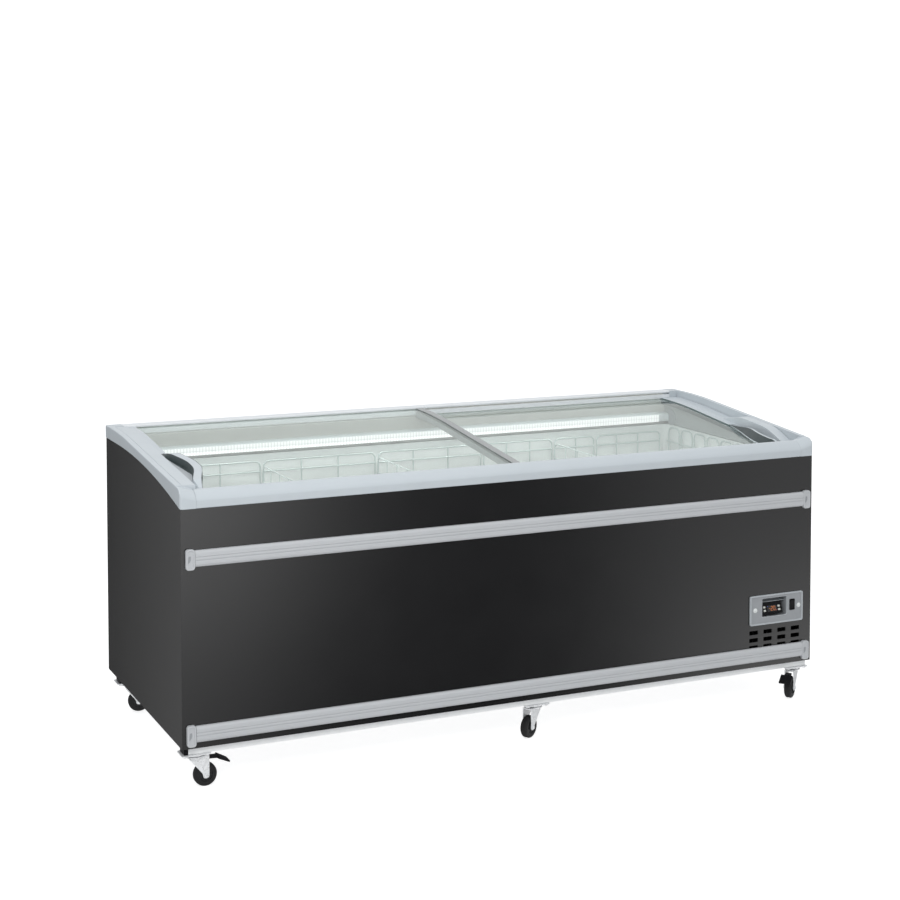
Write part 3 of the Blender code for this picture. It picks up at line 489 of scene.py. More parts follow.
ALONG = (0.06, 1, 1)
LONG = (0.2, 1, 1)
# Each look's last tuple is a painted highlight along its edges: width in mm, lighter colour, share.
MATERIALS = {
    # Charcoal panels: darker towards the bottom, below 0.10 to 0.20 m.
    "charcoal": Look("charcoal_powder_coat", (0.0088, 0.0089, 0.0096), 0.16)
    .tint(5, 0.03).tint(900, 0.12).darker_below(0.10, 0.20, 0.85).bump(650, 0.006).bump(2400, 0.002)
    .done(9, 0.008, edge_highlight=(0.3, (0.10, 0.10, 0.105), 0.6)),
    "frame": Look("frame_plastic", (0.545, 0.592, 0.622), 0.34)
    .tint(14, 0.015).tint(700, 0.012).bump(1100, 0.02, stretch=LONG)
    .done(18, 0.05, edge_highlight=(0.7, (0.74, 0.77, 0.79), 0.5)),
    # Rear rail and lamp housing: a lighter copy of the frame plastic, painted light.
    "rear_frame": Look("rear_frame_painted_light", (0.76, 0.79, 0.81), 0.34)
    .tint(14, 0.015).tint(700, 0.012).bump(1100, 0.02, stretch=LONG)
    .done(18, 0.05, edge_highlight=(0.7, (0.86, 0.88, 0.90), 0.5)),
    # The lids' inner trims: a darker copy of the frame plastic, painted shade.
    "trim": Look("lid_trim_painted_shade", (0.335, 0.35, 0.35), 0.40)
    .tint(30, 0.03).bump(900, 0.03).done(40, 0.05, edge_highlight=(0.6, (0.62, 0.63, 0.62), 0.6)),
    "rail": Look("base_rail_enamel", (0.92, 0.93, 0.93), 0.40)
    .tint(40, 0.03).bump(500, 0.03).done(60, 0.06, edge_highlight=(0.6, (0.90, 0.90, 0.90), 0.5)),
    "bumper": Look("bumper_plastic", (0.535, 0.55, 0.565), 0.36)
    .tint(20, 0.015).tint(420, 0.012, ALONG).bump(700, 0.01, stretch=ALONG)
    .done(30, 0.03, ALONG, edge_highlight=(0.7, (0.72, 0.74, 0.76), 0.6)),
    "bezel": Look("bezel_plastic", (0.315, 0.33, 0.345), 0.40)
    .tint(60, 0.03).tint(1500, 0.05).bump(1600, 0.04).done(40, 0.06, edge_highlight=(0.9, (0.60, 0.64, 0.66), 0.8)),
    # Bezel rim, pocket lip and shelf: a lighter copy of the bezel plastic, painted highlight.
    "bezel_rim": Look("bezel_rim_painted_highlight", (0.46, 0.49, 0.51), 0.36)
    .tint(60, 0.02).tint(1500, 0.03).bump(1600, 0.03).done(40, 0.06, edge_highlight=(0.8, (0.80, 0.83, 0.85), 0.8)),
    # Skirts below the lids: darker copies of the frame plastic, laid as thin sheets, painted shade.
    "side_skirt": Look("end_skirt_painted_shade", (0.325, 0.345, 0.345), 0.45)
    .tint(12, 0.03).bump(500, 0.03).done(20, 0.05),
    "skirt": Look("rear_skirt_painted_shade", (0.50, 0.495, 0.47), 0.45)
    .tint(12, 0.03).bump(500, 0.03, stretch=LONG).done(20, 0.05),
    # White lining in the tracks and under the lamp, brighter than the shaded grooves: painted light.
    "pile": Look("pile_painted_light", (0.88, 0.89, 0.87), 0.70).tint(900, 0.05).bump(2200, 0.04).done(200, 0.05),
    # Scoop floors: a darker copy of the frame plastic, painted shade in the recess.
    "scoop": Look("scoop_painted_shade", (0.44, 0.47, 0.49), 0.38)
    .tint(60, 0.02).bump(900, 0.03).done(40, 0.05, edge_highlight=(0.5, (0.60, 0.62, 0.64), 0.4)),
    "strip": Look("seal_strip", (0.105, 0.15, 0.15), 0.45).tint(90, 0.08).bump(800, 0.03).done(60, 0.06),
    # Dark seal under the glass's edge; the same dark covers the scoops' lip faces as painted shade.
    "seal": Look("dark_seal_and_painted_shade", (0.035, 0.05, 0.052), 0.42).tint(90, 0.12).bump(800, 0.04).done(60, 0.08),
    "liner": Look("liner_sheet", (0.79, 0.805, 0.80), 0.46)
    .tint(10, 0.03).tint(380, 0.02).bump(260, 0.12).bump(35, 0.2).done(16, 0.08),
    "wire": Look("coated_wire", (0.50, 0.56, 0.55), 0.32).tint(120, 0.06).bump(1500, 0.04).done(90, 0.08),
    "zinc": Look("zinc_plate", (0.78, 0.79, 0.80), 0.34, metal=0.35)
    .tint(160, 0.14).tint(900, 0.05).bump(1300, 0.03).done(240, 0.12, edge_highlight=(0.5, (0.88, 0.88, 0.89), 0.6)),
    "steel": Look("galvanised_sheet", (0.60, 0.61, 0.62), 0.42, metal=0.6)
    .tint(120, 0.10).bump(600, 0.03).done(200, 0.10),
    "rubber": Look("wheel_rubber", (0.007, 0.007, 0.0075), 0.55, specular=0.25)
    .tint(200, 0.18).bump(1200, 0.06).done(120, 0.08, edge_highlight=(0.8, (0.035, 0.034, 0.033), 0.5)),
    "black": Look("black_plastic", (0.008, 0.008, 0.009), 0.48, specular=0.08)
    .tint(220, 0.15).bump(1700, 0.04).done(160, 0.08, edge_highlight=(0.3, (0.05, 0.05, 0.052), 0.5)),
    "hub": Look("hub_plastic", (0.014, 0.014, 0.015), 0.40, specular=0.25)
    .tint(200, 0.12).bump(1500, 0.04).done(150, 0.07, edge_highlight=(0.3, (0.06, 0.06, 0.06), 0.5)),
    "enamel": Look("black_enamel", (0.01, 0.01, 0.01), 0.24).tint(80, 0.10).bump(240, 0.1).done(50, 0.05),
    "fins": Look("condenser_fins", (0.01, 0.01, 0.01), 0.60, specular=0.1)
    .tint(90, 0.25).bump(500, 0.06).done(120, 0.10),
    "copper": Look("copper_tube", (0.70, 0.33, 0.20), 0.30, metal=1.0)
    .tint(60, 0.20).bump(900, 0.04).done(80, 0.12),
    "foam": Look("foam", (0.70, 0.60, 0.36), 0.85).tint(40, 0.10).bump(420, 0.6, detail=5.0).done(60, 0.05),
    "button": Look("button_plastic", (0.62, 0.63, 0.585), 0.42)
    .tint(300, 0.04).bump(2200, 0.03).done(300, 0.06, edge_highlight=(0.5, (0.8, 0.8, 0.78), 0.5)),
    "screw": Look("screw_caps", (0.76, 0.79, 0.775), 0.30).tint(200, 0.05).bump(1200, 0.03).done(120, 0.06),
    "window": Look("display_window", (0.008, 0.007, 0.007), 0.10).tint(150, 0.15).done(60, 0.03),
    "glass": glass_look("lid_glass", (0.935, 0.960, 0.948), 0.012),
    "lamp": glowing("lamp_diffuser", (0.98, 0.985, 0.99), 1.00, dots=0.0105),
    "digits": glowing("display_digits", (1.0, 0.28, 0.055), 0.38),
    "blue": glowing("status_light_blue", (0.05, 0.09, 0.75), 0.6),
    "red": glowing("status_light_red", (0.80, 0.03, 0.03), 0.6),
}
SLOTS = {
    **{look: look for look in ("wire", "zinc", "copper", "foam", "button", "glass", "lamp")},
    **dict.fromkeys(("frame", "rear_frame", "trim", "side_skirt", "scoop", "skirt"), "frame_plastic"),
    **dict.fromkeys(("bezel", "bezel_rim"), "bezel_plastic"), **dict.fromkeys(("rail", "steel"), "white_steel"),
    **dict.fromkeys(("black", "hub"), "black_plastic"), "charcoal": "charcoal_paint", "rubber": "tyre",
    "bumper": "bumper_plastic", "liner": "liner_aluminium", "enamel": "black_paint", "fins": "aluminium",
}


# Cabinet


def cabinet():
    columns = ((0.814, 0.848), (0.868, 0.901), (0.921, 0.954), (0.9735, 1.007))
    rows = ((0.178, 0.192), (0.2015, 0.2155), (0.2255, 0.2395))
    vents = [tuple(zip(x, z)) for x in columns for z in rows]
    lips = [
        ring_body(grown(vent, 0.0001, 0.0029, 4), grown(vent, -0.0006, 0.0022, 4), FRONT_Y,
                  (0, 0.1), (0.5, 0.04), (1, 0.5), (1, 4.5), (0, 4.5))
        for vent in vents
    ]
    holes = [grown(vent, 0, 0.0028, 4) for vent in vents]
    holes += [grown(POCKET, 0.004, 0.004, 5), grown(SWITCH, 0.003, 0.004, 5)]
    low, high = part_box("front_panel")
    outer = rounded((-SIDE_X, low.z), (SIDE_X, high.z), 0.0015)
    front = sheet(outer, holes, FRONT_Y + SHEET / 2, SHEET)
    piece("front_panel_sheet", merged(front, *lips), "charcoal", stands_for="front_panel")
    slots = [
        rounded((x, z), (x + 0.090, z + 0.008), 0.0038)
        for x in (0.790, 0.905) for z in spread(0.180, 0.330, 6)
    ]
    low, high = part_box("rear_panel")
    outer = rounded((-SIDE_X, low.z), (SIDE_X, high.z), 0.0015)
    rear = sheet(outer, slots, REAR_Y - SHEET / 2, SHEET)
    piece("rear_panel_sheet", rear, "charcoal", stands_for="rear_panel")


def cad_looks():
    """Better materials, and small round edges in mm, on the CAD nodes that stay."""
    looks = {
        ("charcoal", 0.3): ("left_side_panel", "right_side_panel"), ("steel", 0.3): ("base_pan",),
        ("foam", 2): ("insulation",), ("copper", 1): ("evaporator_coil",), ("enamel", 3): ("compressor",),
        ("fins", 0.8): ("condenser",), ("black", 0.7): ("thermostat",), ("black", 0.6): ("switch_rocker",),
        ("rail", 0.9): ("front_base_rail", "rear_base_rail"),
        ("button", 0.6): ("button_up", "button_down", "button_set", "button_standby"),
        ("black", 1.2): ("front_left_brake_pedal", "front_right_brake_pedal"),
    }
    for (look, edge), names in looks.items():
        for name in names:
            obj = frame["nodes"][name]
            obj.data.materials.clear()
            obj.data.materials.append(MATERIALS[look])
            obj.modifiers.new("weld", "WELD").merge_threshold = 0.00001
            finish_surface(obj, edge * MM)
            obj.data.set_sharp_from_angle(angle=radians(SHARP))


# Frame round the opening


def groove(mouth, drop, way, above, below):
    """The track for a lid's edge, cut back from a rail's face."""
    back, top = mouth + way * GROOVE, glass_top(mouth, drop)
    return rect(mouth, back, top + above, top - GLASS - below)


def front_rail():
    rear = RAIL_BACK_Y
    steps = [FRAME_FRONT_Y + NOSE * (1 - cos(radians(t))) for t in range(0, 90, 15)]
    steps += spread(FRAME_FRONT_Y + NOSE, rear - 0.003, 9)
    outline = [(rear, CABINET_TOP), (FRAME_FRONT_Y + 0.001, CABINET_TOP), (FRAME_FRONT_Y, CABINET_TOP + 0.001)]
    outline += [(y, rail_top(y)) for y in steps]
    outline += [(rear - 0.001, rail_top(rear) - 0.0004), (rear, rail_top(rear) - 0.0018)]
    for drop in (0.0, LID_STEP):
        outline += groove(rear, drop, -1, 0.002, 0.003)
    rail = bar(outline, -SEAM_X, SEAM_X)
    piece("front_rail_extrusion", rail, "frame", stands_for="front_frame_rail", edge=0.0004)


def rear_rail():
    front, clear = REAR_RAIL_Y, 0.001
    lower, upper = groove(front, LID_STEP, 1, clear, clear), groove(front, 0.0, 1, clear, clear)
    under, bottom = front + GROOVE + 0.004, SKIRT_BOTTOM
    top = soften([
        (front, glass_top(front) + clear, 0), (front, HEIGHT - SPARE, 0.0035),
        (FRAME_REAR_Y, HEIGHT - SPARE, 0.005), (FRAME_REAR_Y, PANEL_TOP_REAR, 0.001),
    ], 4)
    outline = [(front, bottom), *lower[::-1], *upper[::-1], *top[1:], (under, PANEL_TOP_REAR), (under, 0.860),
               (front + 0.008, 0.852), (front + 0.008, bottom)]
    rail = bar(outline, -SEAM_X, SEAM_X)
    # The rear rail takes the lighter copy of the frame plastic: painted light.
    piece("rear_rail_extrusion", rail, "rear_frame", stands_for="rear_frame_rail", edge=0.0004)
    end, skin = SKIRT_X - 0.001, 0.0004
    # White linings in the two tracks: painted light in the grooves' shade.
    for name, ((_, high), (back, _), (_, low), _) in (("lower", lower), ("upper", upper)):
        mouth, back = front + 0.0003, back - 0.0001
        channel = rect(mouth, back, low, high)[:3] + [(mouth, high), (mouth, high - skin)]
        channel += [(back - skin, high - skin), (back - skin, low + skin), (mouth, low + skin)]
        piece(f"rear_{name}_track_lining_painted_light", bar(channel, -end, end), "pile")
    # A white strip in the gap under the lamp: painted light where there is shade.
    seam = rect(front + 0.0002, front + 0.0022, TUB_HIGH.z + 0.00015, bottom - 0.0001)
    piece("rear_seam_painted_light", bar(seam, -end, end), "pile")
    # A thin darker sheet over the rail's inner face below the lower track: painted shade.
    cuts = (0, 0.0002, 0.0002, 0)
    cover = rect(front - 0.00005, front - 0.0006, bottom + 0.0005, lower[2][1] - 0.0002)
    cover = soften([(y, z, cut) for (y, z), cut in zip(cover, cuts)])
    piece("rear_skirt_shade_sheet", bar(cover, -end, end), "skirt")


def end_ring(y, drop):
    """An end moulding's cross-section at a place along its depth, drawn for the right."""
    inset = CORNER_ROUND - clamp(y - FRAME_FRONT_Y, 0.0, CORNER_ROUND)
    outer = END_X - SPARE - CORNER_ROUND + sqrt(CORNER_ROUND**2 - inset**2)
    top, low = frame_top(y), max(band_low(y), CABINET_TOP + 0.0003)
    inner = min(SIDE_X - SHEET - 2 * GAP, outer - 0.004)
    if RAIL_BACK_Y + 0.0004 < y < REAR_RAIL_Y - 0.0004:
        ledge = glass_top(y, drop) - GLASS - TRIM_LIP - 0.0014
        strip = END_X - STRIP_WIDTH
        base = SKIRT_BOTTOM
        rest = [(strip, top, 0.0016), (strip, ledge, 0), (SKIRT_X, ledge, 0.0012), (SKIRT_X, base, 0)]
    else:
        seam, base = SEAM_X + GAP, CABINET_TOP
        crest = rail_top(y) if y < 0 else HEIGHT
        if y > 0:
            base = SKIRT_BOTTOM if y < REAR_Y - SHEET - GAP else PANEL_TOP_REAR + 0.0003
        rest = [(seam, crest, 0.0012), (seam, (crest + base) / 2, 0), (seam, (crest + 3 * base) / 4, 0.0012),
                (seam, base, 0)]
    corners = [(outer, low, 0.0008), (outer, top, 0.0042), *rest, (inner, base, 0), (inner, low, 0)]
    return [(x, y, z) for x, z in soften(corners, 4)]


def end_frame(side, drop, name):
    rear, panel = FRAME_REAR_Y - SPARE, REAR_Y - SHEET - GAP
    corner = (0, 0.01, 0.04, 0.09, 0.16, 0.26, 0.38, 0.55, 0.75, 1.0)
    stations = [FRAME_FRONT_Y + share * FRONT_ROUND for share in corner]
    stations += [RAIL_BACK_Y - 0.006, RAIL_BACK_Y, RAIL_BACK_Y + 0.0002]
    stations += spread(RAIL_BACK_Y + 0.0007, REAR_RAIL_Y - 0.0007, 56)
    stations += [REAR_RAIL_Y - 0.0002, REAR_RAIL_Y + 0.010, panel - 0.0005, panel]
    stations += [rear - REAR_ROUND, rear - 0.0015, rear - 0.0004, rear]
    rings = []
    for y in stations:
        back = clamp((y - (rear - REAR_ROUND)) / REAR_ROUND)
        shrink = REAR_ROUND * (1 - sqrt(1 - back * back))
        rings.append([
            (side * (x - shrink if x > SIDE_X else x), y,
             z - shrink if z > HEIGHT - 0.006 and y > REAR_RAIL_Y else z)
            for x, y, z in end_ring(y, drop)
        ])
    piece(name + "_end_moulding", loft(rings), "frame", stands_for=name + "_end_frame", edge=0.0003)
    # A thin darker sheet over the moulding's inner skirt: painted shade.
    rings = []
    for y in spread(RAIL_BACK_Y + 0.0012, REAR_RAIL_Y - 0.0012, 30):
        ledge = glass_top(y, drop) - GLASS - TRIM_LIP - 0.0022
        cover = rect(SKIRT_X - 0.0006, SKIRT_X - 0.00005, SKIRT_BOTTOM + 0.0005, ledge)
        rings.append([(side * x, y, z) for x, z in cover])
    piece(name + "_skirt_shade_sheet", loft(rings), "side_skirt")


# Lids


def lid_curve(front, rear, drop, shape, stations=40):
    """A body along a lid's curve, from a shape of (x, height over the glass's top) points."""
    return loft([
        [(x, y, glass_top(y, drop) + up) for x, up in shape] for y in spread(front, rear, stations)
    ])


def lip_line(y, name):
    """Where the scoop's raised lip stands: its foot, its top's two edges, and its outward foot."""
    rise = swell(y, LIPS[name])
    lean, width = LIP_LEANS[name]
    reach = 0.0635 + 0.042 * swell(y, SCOOPS[name])
    edge = reach - 0.0015 - lean * rise
    head = edge - LIP_THICK - (width - LIP_THICK) * rise
    return head - 0.0045, head, edge, reach


def lip_heights(y, drop, name):
    strip = glass_top(y, drop) + STRIP_HEIGHT
    return strip, strip + 0.0004 + LIP_HEIGHT * swell(y, LIPS[name])


def handle_ring(y, drop, name):
    """The outer moulding's cross-section, as (distance inward from the lid's edge, z)."""
    top, under = glass_top(y, drop), glass_top(y, drop) - GLASS - 0.0004
    bottom = under - TRIM_LIP + 0.0002
    strip, lip_top = lip_heights(y, drop, name)
    flush, low = frame_top(y) - 0.0008, strip + 0.0015
    flat = flush if drop == 0 else low + (flush - low) * swell(y, HUMP)
    foot, head, edge, reach = lip_line(y, name)
    return soften([
        (0.0, bottom, 0), (0.0, flat, 0.0016), (0.0385, flat, 0.0020), (0.0392, strip, 0.0016),
        (foot, strip, 0.0016), (head, lip_top, 0.0016), (edge, lip_top, 0.0016), (reach, strip - 0.0004, 0),
        (reach, top + 0.0004, 0), (0.0405, top + 0.0004, 0), (0.0405, under, 0), (0.0635, under, 0),
        (0.0635, bottom, 0.0006),
    ], 3)


def grip_faces(y, side, drop, name):
    """Lines on the scoop's surfaces: each is two (distance inward, z) points."""
    strip, lip_top = lip_heights(y, drop, name)
    foot, head, edge, reach = lip_line(y, name)
    # On the left lid, a dark strip on the scoop floor along the lip's foot is painted shade.
    shade = foot - 0.0004
    if side < 0:
        shade = min(shade, 0.0402 + 0.0333 * clamp((FRONT_Y + 0.43 - y) / 0.23))
    return {
        "inner": ((foot, strip), (head, lip_top)), "outer": ((edge, lip_top), (reach, strip - 0.0004)),
        "shade": ((shade - 0.0002, strip), (foot, strip)), "floor": ((0.0400, strip), (shade - 0.0008, strip)),
    }


def lid(name, side, drop):
    body, tag = name + "_lid", name + "_lid_"
    front, rear = RAIL_BACK_Y + 0.0010, REAR_RAIL_Y - 0.0012
    low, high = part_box(tag + "glass")

    def inward(u):
        return side * (LID_EDGE_X - u)

    def facing(part):
        """A thin cover over one of the scoop's surfaces, darker than the moulding: painted shade."""
        rings = []
        first, last = LIPS[name][3] + 0.008, LIPS[name][0] - 0.012
        if part == "inner" and side < 0:
            first = 0.130
        for y in spread(FRONT_Y + first, FRONT_Y + last, 74):
            a, b = (Vector(point) for point in grip_faces(y, side, drop, name)[part])
            along = (b - a).normalized() if (b - a).length > 1e-6 else Vector((1, 0))
            out = Vector((-along.y, along.x)) * 0.0005
            end = a + (b - a) * 0.95
            rings.append([(inward(p.x), y, p.y) for p in (a, end, end + out, a + out)])
        return loft(rings)

    a, b, t, e = low.x, high.x, GLASS, 0.0005
    pane = ((a + e, -t), (b - e, -t), (b, -t + e), (b, -e), (b - e, 0), (a + e, 0), (a, -e), (a, -t + e))
    piece(tag + "pane", lid_curve(low.y, high.y, drop, pane, 48), "glass", body, tag + "glass")
    stations = spread(front, FRONT_Y + 0.47, 96) + spread(FRONT_Y + 0.47, rear, 26)[1:]
    rings = [[(inward(u), y, z) for u, z in handle_ring(y, drop, name)] for y in stations]
    piece(tag + "handle_moulding", loft(rings, sharp=42), "frame", body, tag + "handle")
    # Dark covers on the lip's faces, and on the left lid along its foot: painted shade.
    parts = ("inner", "outer", "shade") if side < 0 else ("inner", "outer")
    piece(tag + "grip_painted_shade", merged(*(facing(part) for part in parts)), "seal", body)
    # The scoop floor's darker grey is painted shade.
    piece(tag + "scoop_floor", facing("floor"), "scoop", body)
    if side > 0:
        band = [(inward(u), up) for u, up in mm((63.4, 0.3), (70.5, 0.3), (70.5, 0.9), (64.1, 1.1), (64.1, 2.6),
                                                (63.4, 2.6))]
        piece(tag + "edge_strip", lid_curve(FRONT_Y + 0.352, rear - 0.001, drop, band, 30), "strip", body)
    seal = rect(inward(0.0641), inward(0.0613), -GLASS - (0.0056 if side < 0 else 0.0140), -GLASS - 0.0024)
    piece(tag + "edge_seal", lid_curve(front + 0.001, rear - 0.001, drop, seal), "seal", body)
    end = 1 if side < 0 else 0
    cap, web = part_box(tag + "inner_trim")[end].x, (low, high)[end].x - side * GAP
    above, below = (0.0028, TRIM_LIP + 0.0002) if side < 0 else (LID_STEP - GLASS - 0.0045, 0.0040)
    lip = cap + side * 0.0250
    trim = soften([
        (cap, -GLASS - below, 0.0008), (cap, above, 0.0014), (lip, above, 0.0012), (lip, 0.0004, 0),
        (web, 0.0004, 0), (web, -GLASS - 0.0004, 0), (lip, -GLASS - 0.0004, 0), (lip, -GLASS - below, 0.0004),
    ])
    # The trim takes the darker copy of the frame plastic: painted shade.
    piece(tag + "trim_channel", lid_curve(front, rear, drop, trim, 44), "trim", body, tag + "inner_trim")


# Front fittings


def bumpers():
    back, front = FRONT_Y - GAP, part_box("upper_bumper")[0].y
    # Each corner: mm behind the front, share of the height, cut in mm
    profile = (
        (4.5, 0, 1), (0, 0.13, 4), (0, 0.375, 0.6), (1.8, 0.392, 0.4), (1.8, 0.412, 0.4), (0, 0.428, 1.2),
        (0, 0.565, 1.2), (1.8, 0.582, 0.4), (1.8, 0.602, 0.4), (0, 0.618, 0.6), (0, 0.87, 3), (4.2, 1, 1.2),
    )
    for level in ("upper", "lower"):
        node = level + "_bumper"
        (x_low, _, low), (x_high, _, high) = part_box(node)
        ribs = [(front + y * MM, low + share * (high - low), cut * MM) for y, share, cut in profile]
        strip = bar([(back, low), *soften(ribs), (back, high)], x_low, x_high)
        piece(node + "_strip", strip, "bumper", stands_for=node, edge=0.0003)
        for side in ("left", "right"):
            bumper_cap(f"{node}_{side}_cap", back)


def bumper_cap(node, back):
    (x0, face, z0), (x1, _, z1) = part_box(node)
    box = ((x0, z0), (x1, z1))
    # Each layer in mm: distance behind the face, inset, corner radius
    layers = mm((3, 0, 8), (0.9, 0.4, 7.8), (0.2, 1.2, 7.2), (0, 2.2, 6.4), (0, 4.2, 5), (0.4, 5, 4.4),
                (2.2, 5.6, 4))
    shell = [(face + y, grown(box, -inset, radius)) for y, inset, radius in layers]
    piece(node + "_shell", stack([(back, shell[0][1]), *shell]), "bumper", stands_for=node)
    tear = soften(near((x0 + x1) / 2 - 0.0025, (z0 + z1) / 2,
                       (-3, 10, 3), (3.5, 11, 3), (3, -2, 6), (-4.5, -11, 2)), 5)
    piece(node + "_latch", stack([(face + 0.0010, tear), (face + 0.0021, tear)]), "bezel", edge=0.0003)


def control_panel():
    (x0, front, z0), (x1, back, z1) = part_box("control_bezel")
    box = ((x0, z0), (x1, z1))
    sunk, wall = 2.8, 0.002
    plate_y, deep = front + sunk * MM, (FRONT_Y - GAP - front) / MM
    rim = ring_body(grown(box, 0, 0.006), grown(box, -0.0052, 0.003), front, (0, deep), (0, 1.6), (0.10, 0.5),
                    (0.24, 0), (0.70, 0), (0.85, 0.4), (1, sunk), (1, deep))
    pocket = grown(POCKET, 0, 0.004)
    plate = sheet(grown(box, -0.0048, 0.003), [pocket, grown(SWITCH, 0, 0.002)], plate_y + 0.001, 0.002, 0.0003)
    outer = grown(POCKET, wall, 0.006)
    tray = stack([(back - wall, pocket), (plate_y + 0.0004, pocket), (plate_y + 0.0004, outer), (back, outer)])
    # The rim takes the lighter copy of the bezel plastic: painted highlight.
    piece("control_bezel_rim", rim, "bezel_rim")
    piece("control_bezel_moulding", merged(plate, tray), "bezel", stands_for="control_bezel")
    # The pocket's lip takes the lighter copy too: painted highlight.
    lip = ring_body(grown(POCKET, 0.001, 0.005), grown(POCKET, -0.0002, 0.004), plate_y,
                    (0, 0.2), (0.15, -0.6), (0.6, -0.8), (1, -0.3), (1, 4), (0, 1))
    piece("control_bezel_pocket_lip", lip, "bezel_rim")
    # The shelf above the thermostat takes the lighter copy: painted highlight.
    shelf_low, shelf_high = FACE_HIGH.z + 0.0003, FACE_HIGH.z + 0.0012
    shelf = [(FACE_HIGH.y + 0.0006, shelf_low), (back - 0.0025, shelf_low), (back - 0.0025, shelf_high),
             (FACE_HIGH.y + 0.0009, shelf_high)]
    piece("control_pocket_shelf", bar(shelf, POCKET[0][0] + 0.0006, POCKET[1][0] - 0.0006), "bezel_rim")
    surround = ring_body(grown(SWITCH, 0.0015, 0.003), grown(SWITCH, -0.0003, 0.0017), plate_y,
                         (0, -0.1), (0.2, -1), (0.8, -1.2), (1, -0.8), (1, 4), (0.9, 4))
    piece("switch_surround", surround, "black")
    dome = ((0.2, 7.6), (-0.6, 7.6), (-1, 7.2), (-1.8, 6.4), (-2.8, 4.6), (-3.4, 2.5), (-3.5, 0.8))
    caps = [moved(turned(dome, 28, 1), (x, plate_y, z)) for x, z in ((0.834, 0.305), (1.001, 0.3065))]
    piece("control_screw_caps", merged(*caps), "screw")


def face_point(x, up, out):
    """A place on the thermostat's leaning face, from its distance up the face and out of it."""
    return FACE_LOW + FACE_UP * up + FACE_OUT * out + Vector((x, 0, 0))


def on_face(outline, low, high):
    """A plate on the face, from an outline in x and distance up."""
    return loft([[face_point(x, up, out) for x, up in outline] for out in (low, high)])


def display():
    window = rounded((0.8830, 0.0075), (0.9195, 0.0265), 0.0016)
    piece("display_window", on_face(window, 0.0, 0.0006), "window", edge=0.0002)
    edge = ((0.8645, 0.0012), (0.9375, 0.0375))
    collar = loft([
        [face_point(ax + (bx - ax) * t, az + (bz - az) * t, out * MM)
         for t, out in ((0, 0), (0.15, 0.5), (0.7, 0.6), (1, 0))]
        for (ax, az), (bx, bz) in zip(grown(edge, 0, 0.0030), grown(edge, -0.0017, 0.0016))
    ], cyclic=True)
    piece("thermostat_collar", collar, "black")
    piece("display_digits", digits(), "digits")
    for name, x, up, look in (("left", 0.8850, 0.0238, "blue"), ("right", 0.9172, 0.0102, "red")):
        dot = turned(((0, 1.1), (0.3, 1), (0.4, 0.6)), 14, 1)
        piece("display_dot_" + name, moved(dot, face_point(x, up, 0.0005), pi), look)


def digits():
    """A generic temperature in seven-segment digits."""
    width, tall, thick, lean, base = 0.0066, 0.0122, 0.00135, 0.0007, 0.0108
    half, point = tall / 2, thick * 0.55
    ends = {
        "a": ((0, tall), (width, tall)), "b": ((width, half), (width, tall)), "c": ((width, 0), (width, half)),
        "d": ((0, 0), (width, 0)), "e": ((0, 0), (0, half)), "f": ((0, half), (0, tall)),
        "g": ((0, half), (width, half)), "-": ((0.002, half), (width, half)),
    }
    bars = []
    for x, shown in ((0.8868, "-"), (0.8960, "abged"), (0.9058, "abcdef")):
        for a, b in (map(Vector, ends[key]) for key in shown):
            way = (b - a).normalized()
            side, cut = Vector((-way.y, way.x)) * thick / 2, way * point
            start, end = a + cut * 0.25, b - cut * 0.25
            outline = [start, start + cut + side, end - cut + side, end, end - cut - side, start + cut - side]
            bars.append(on_face([(x + p.x + lean * p.y / tall, base + p.y) for p in outline], 0.0005, 0.0009))
    return merged(*bars)


# Inside the tub


def tub():
    """The liner with round corners and a turned rim, opened at the top."""
    def block(name, x_low, x_high, z_low):
        outline = rounded((x_low, TUB_FRONT_Y), (x_high, TUB_REAR_Y), 0.022, 6)
        return linked(name, loft([[(x, y, z) for x, y in outline] for z in (z_low, TUB_HIGH.z - 0.0006)]))

    deep = block("deep", -TUB_HIGH.x, STEP_X, TUB_LOW.z + 0.001)
    shallow = block("shallow", -0.5, TUB_HIGH.x, STEP_Z)
    union = deep.modifiers.new("union", "BOOLEAN")
    union.operation, union.object, union.solver = "UNION", shallow, "EXACT"
    bm = bmesh.new()
    bm.from_mesh(evaluated(deep))
    for obj in (deep, shallow):
        bpy.data.objects.remove(obj)
    bmesh.ops.remove_doubles(bm, verts=bm.verts, dist=1e-5)
    bmesh.ops.dissolve_limit(bm, angle_limit=radians(1), verts=bm.verts, edges=bm.edges)
    top = [f for f in bm.faces if f.normal.z > 0.9 and f.calc_center_median().z > 0.7]
    bmesh.ops.delete(bm, geom=top, context="FACES")
    edges = [e for e in bm.edges if len(e.link_faces) == 2 and e.calc_face_angle(0) > radians(50)]
    bmesh.ops.bevel(bm, geom=edges, offset=0.014, segments=4, affect="EDGES", profile=0.5, clamp_overlap=True)
    rim = [e for e in bm.edges if len(e.link_faces) == 1]
    flange_x, flange_y, middle_y = 0.012, 0.022, (TUB_FRONT_Y + TUB_REAR_Y) / 2
    for vert in bmesh.ops.extrude_edge_only(bm, edges=rim)["geom"]:
        if isinstance(vert, bmesh.types.BMVert):
            vert.co.y += copysign(flange_y, vert.co.y - middle_y)
            vert.co.x += copysign(flange_x, vert.co.x)
    bmesh.ops.reverse_faces(bm, faces=bm.faces)
    liner = piece("tub_liner", to_mesh(bm, 40), "liner", stands_for="inner_liner")
    skin = liner.modifiers.new("skin", "SOLIDIFY")
    skin.thickness, skin.offset = 0.0008, 1.0


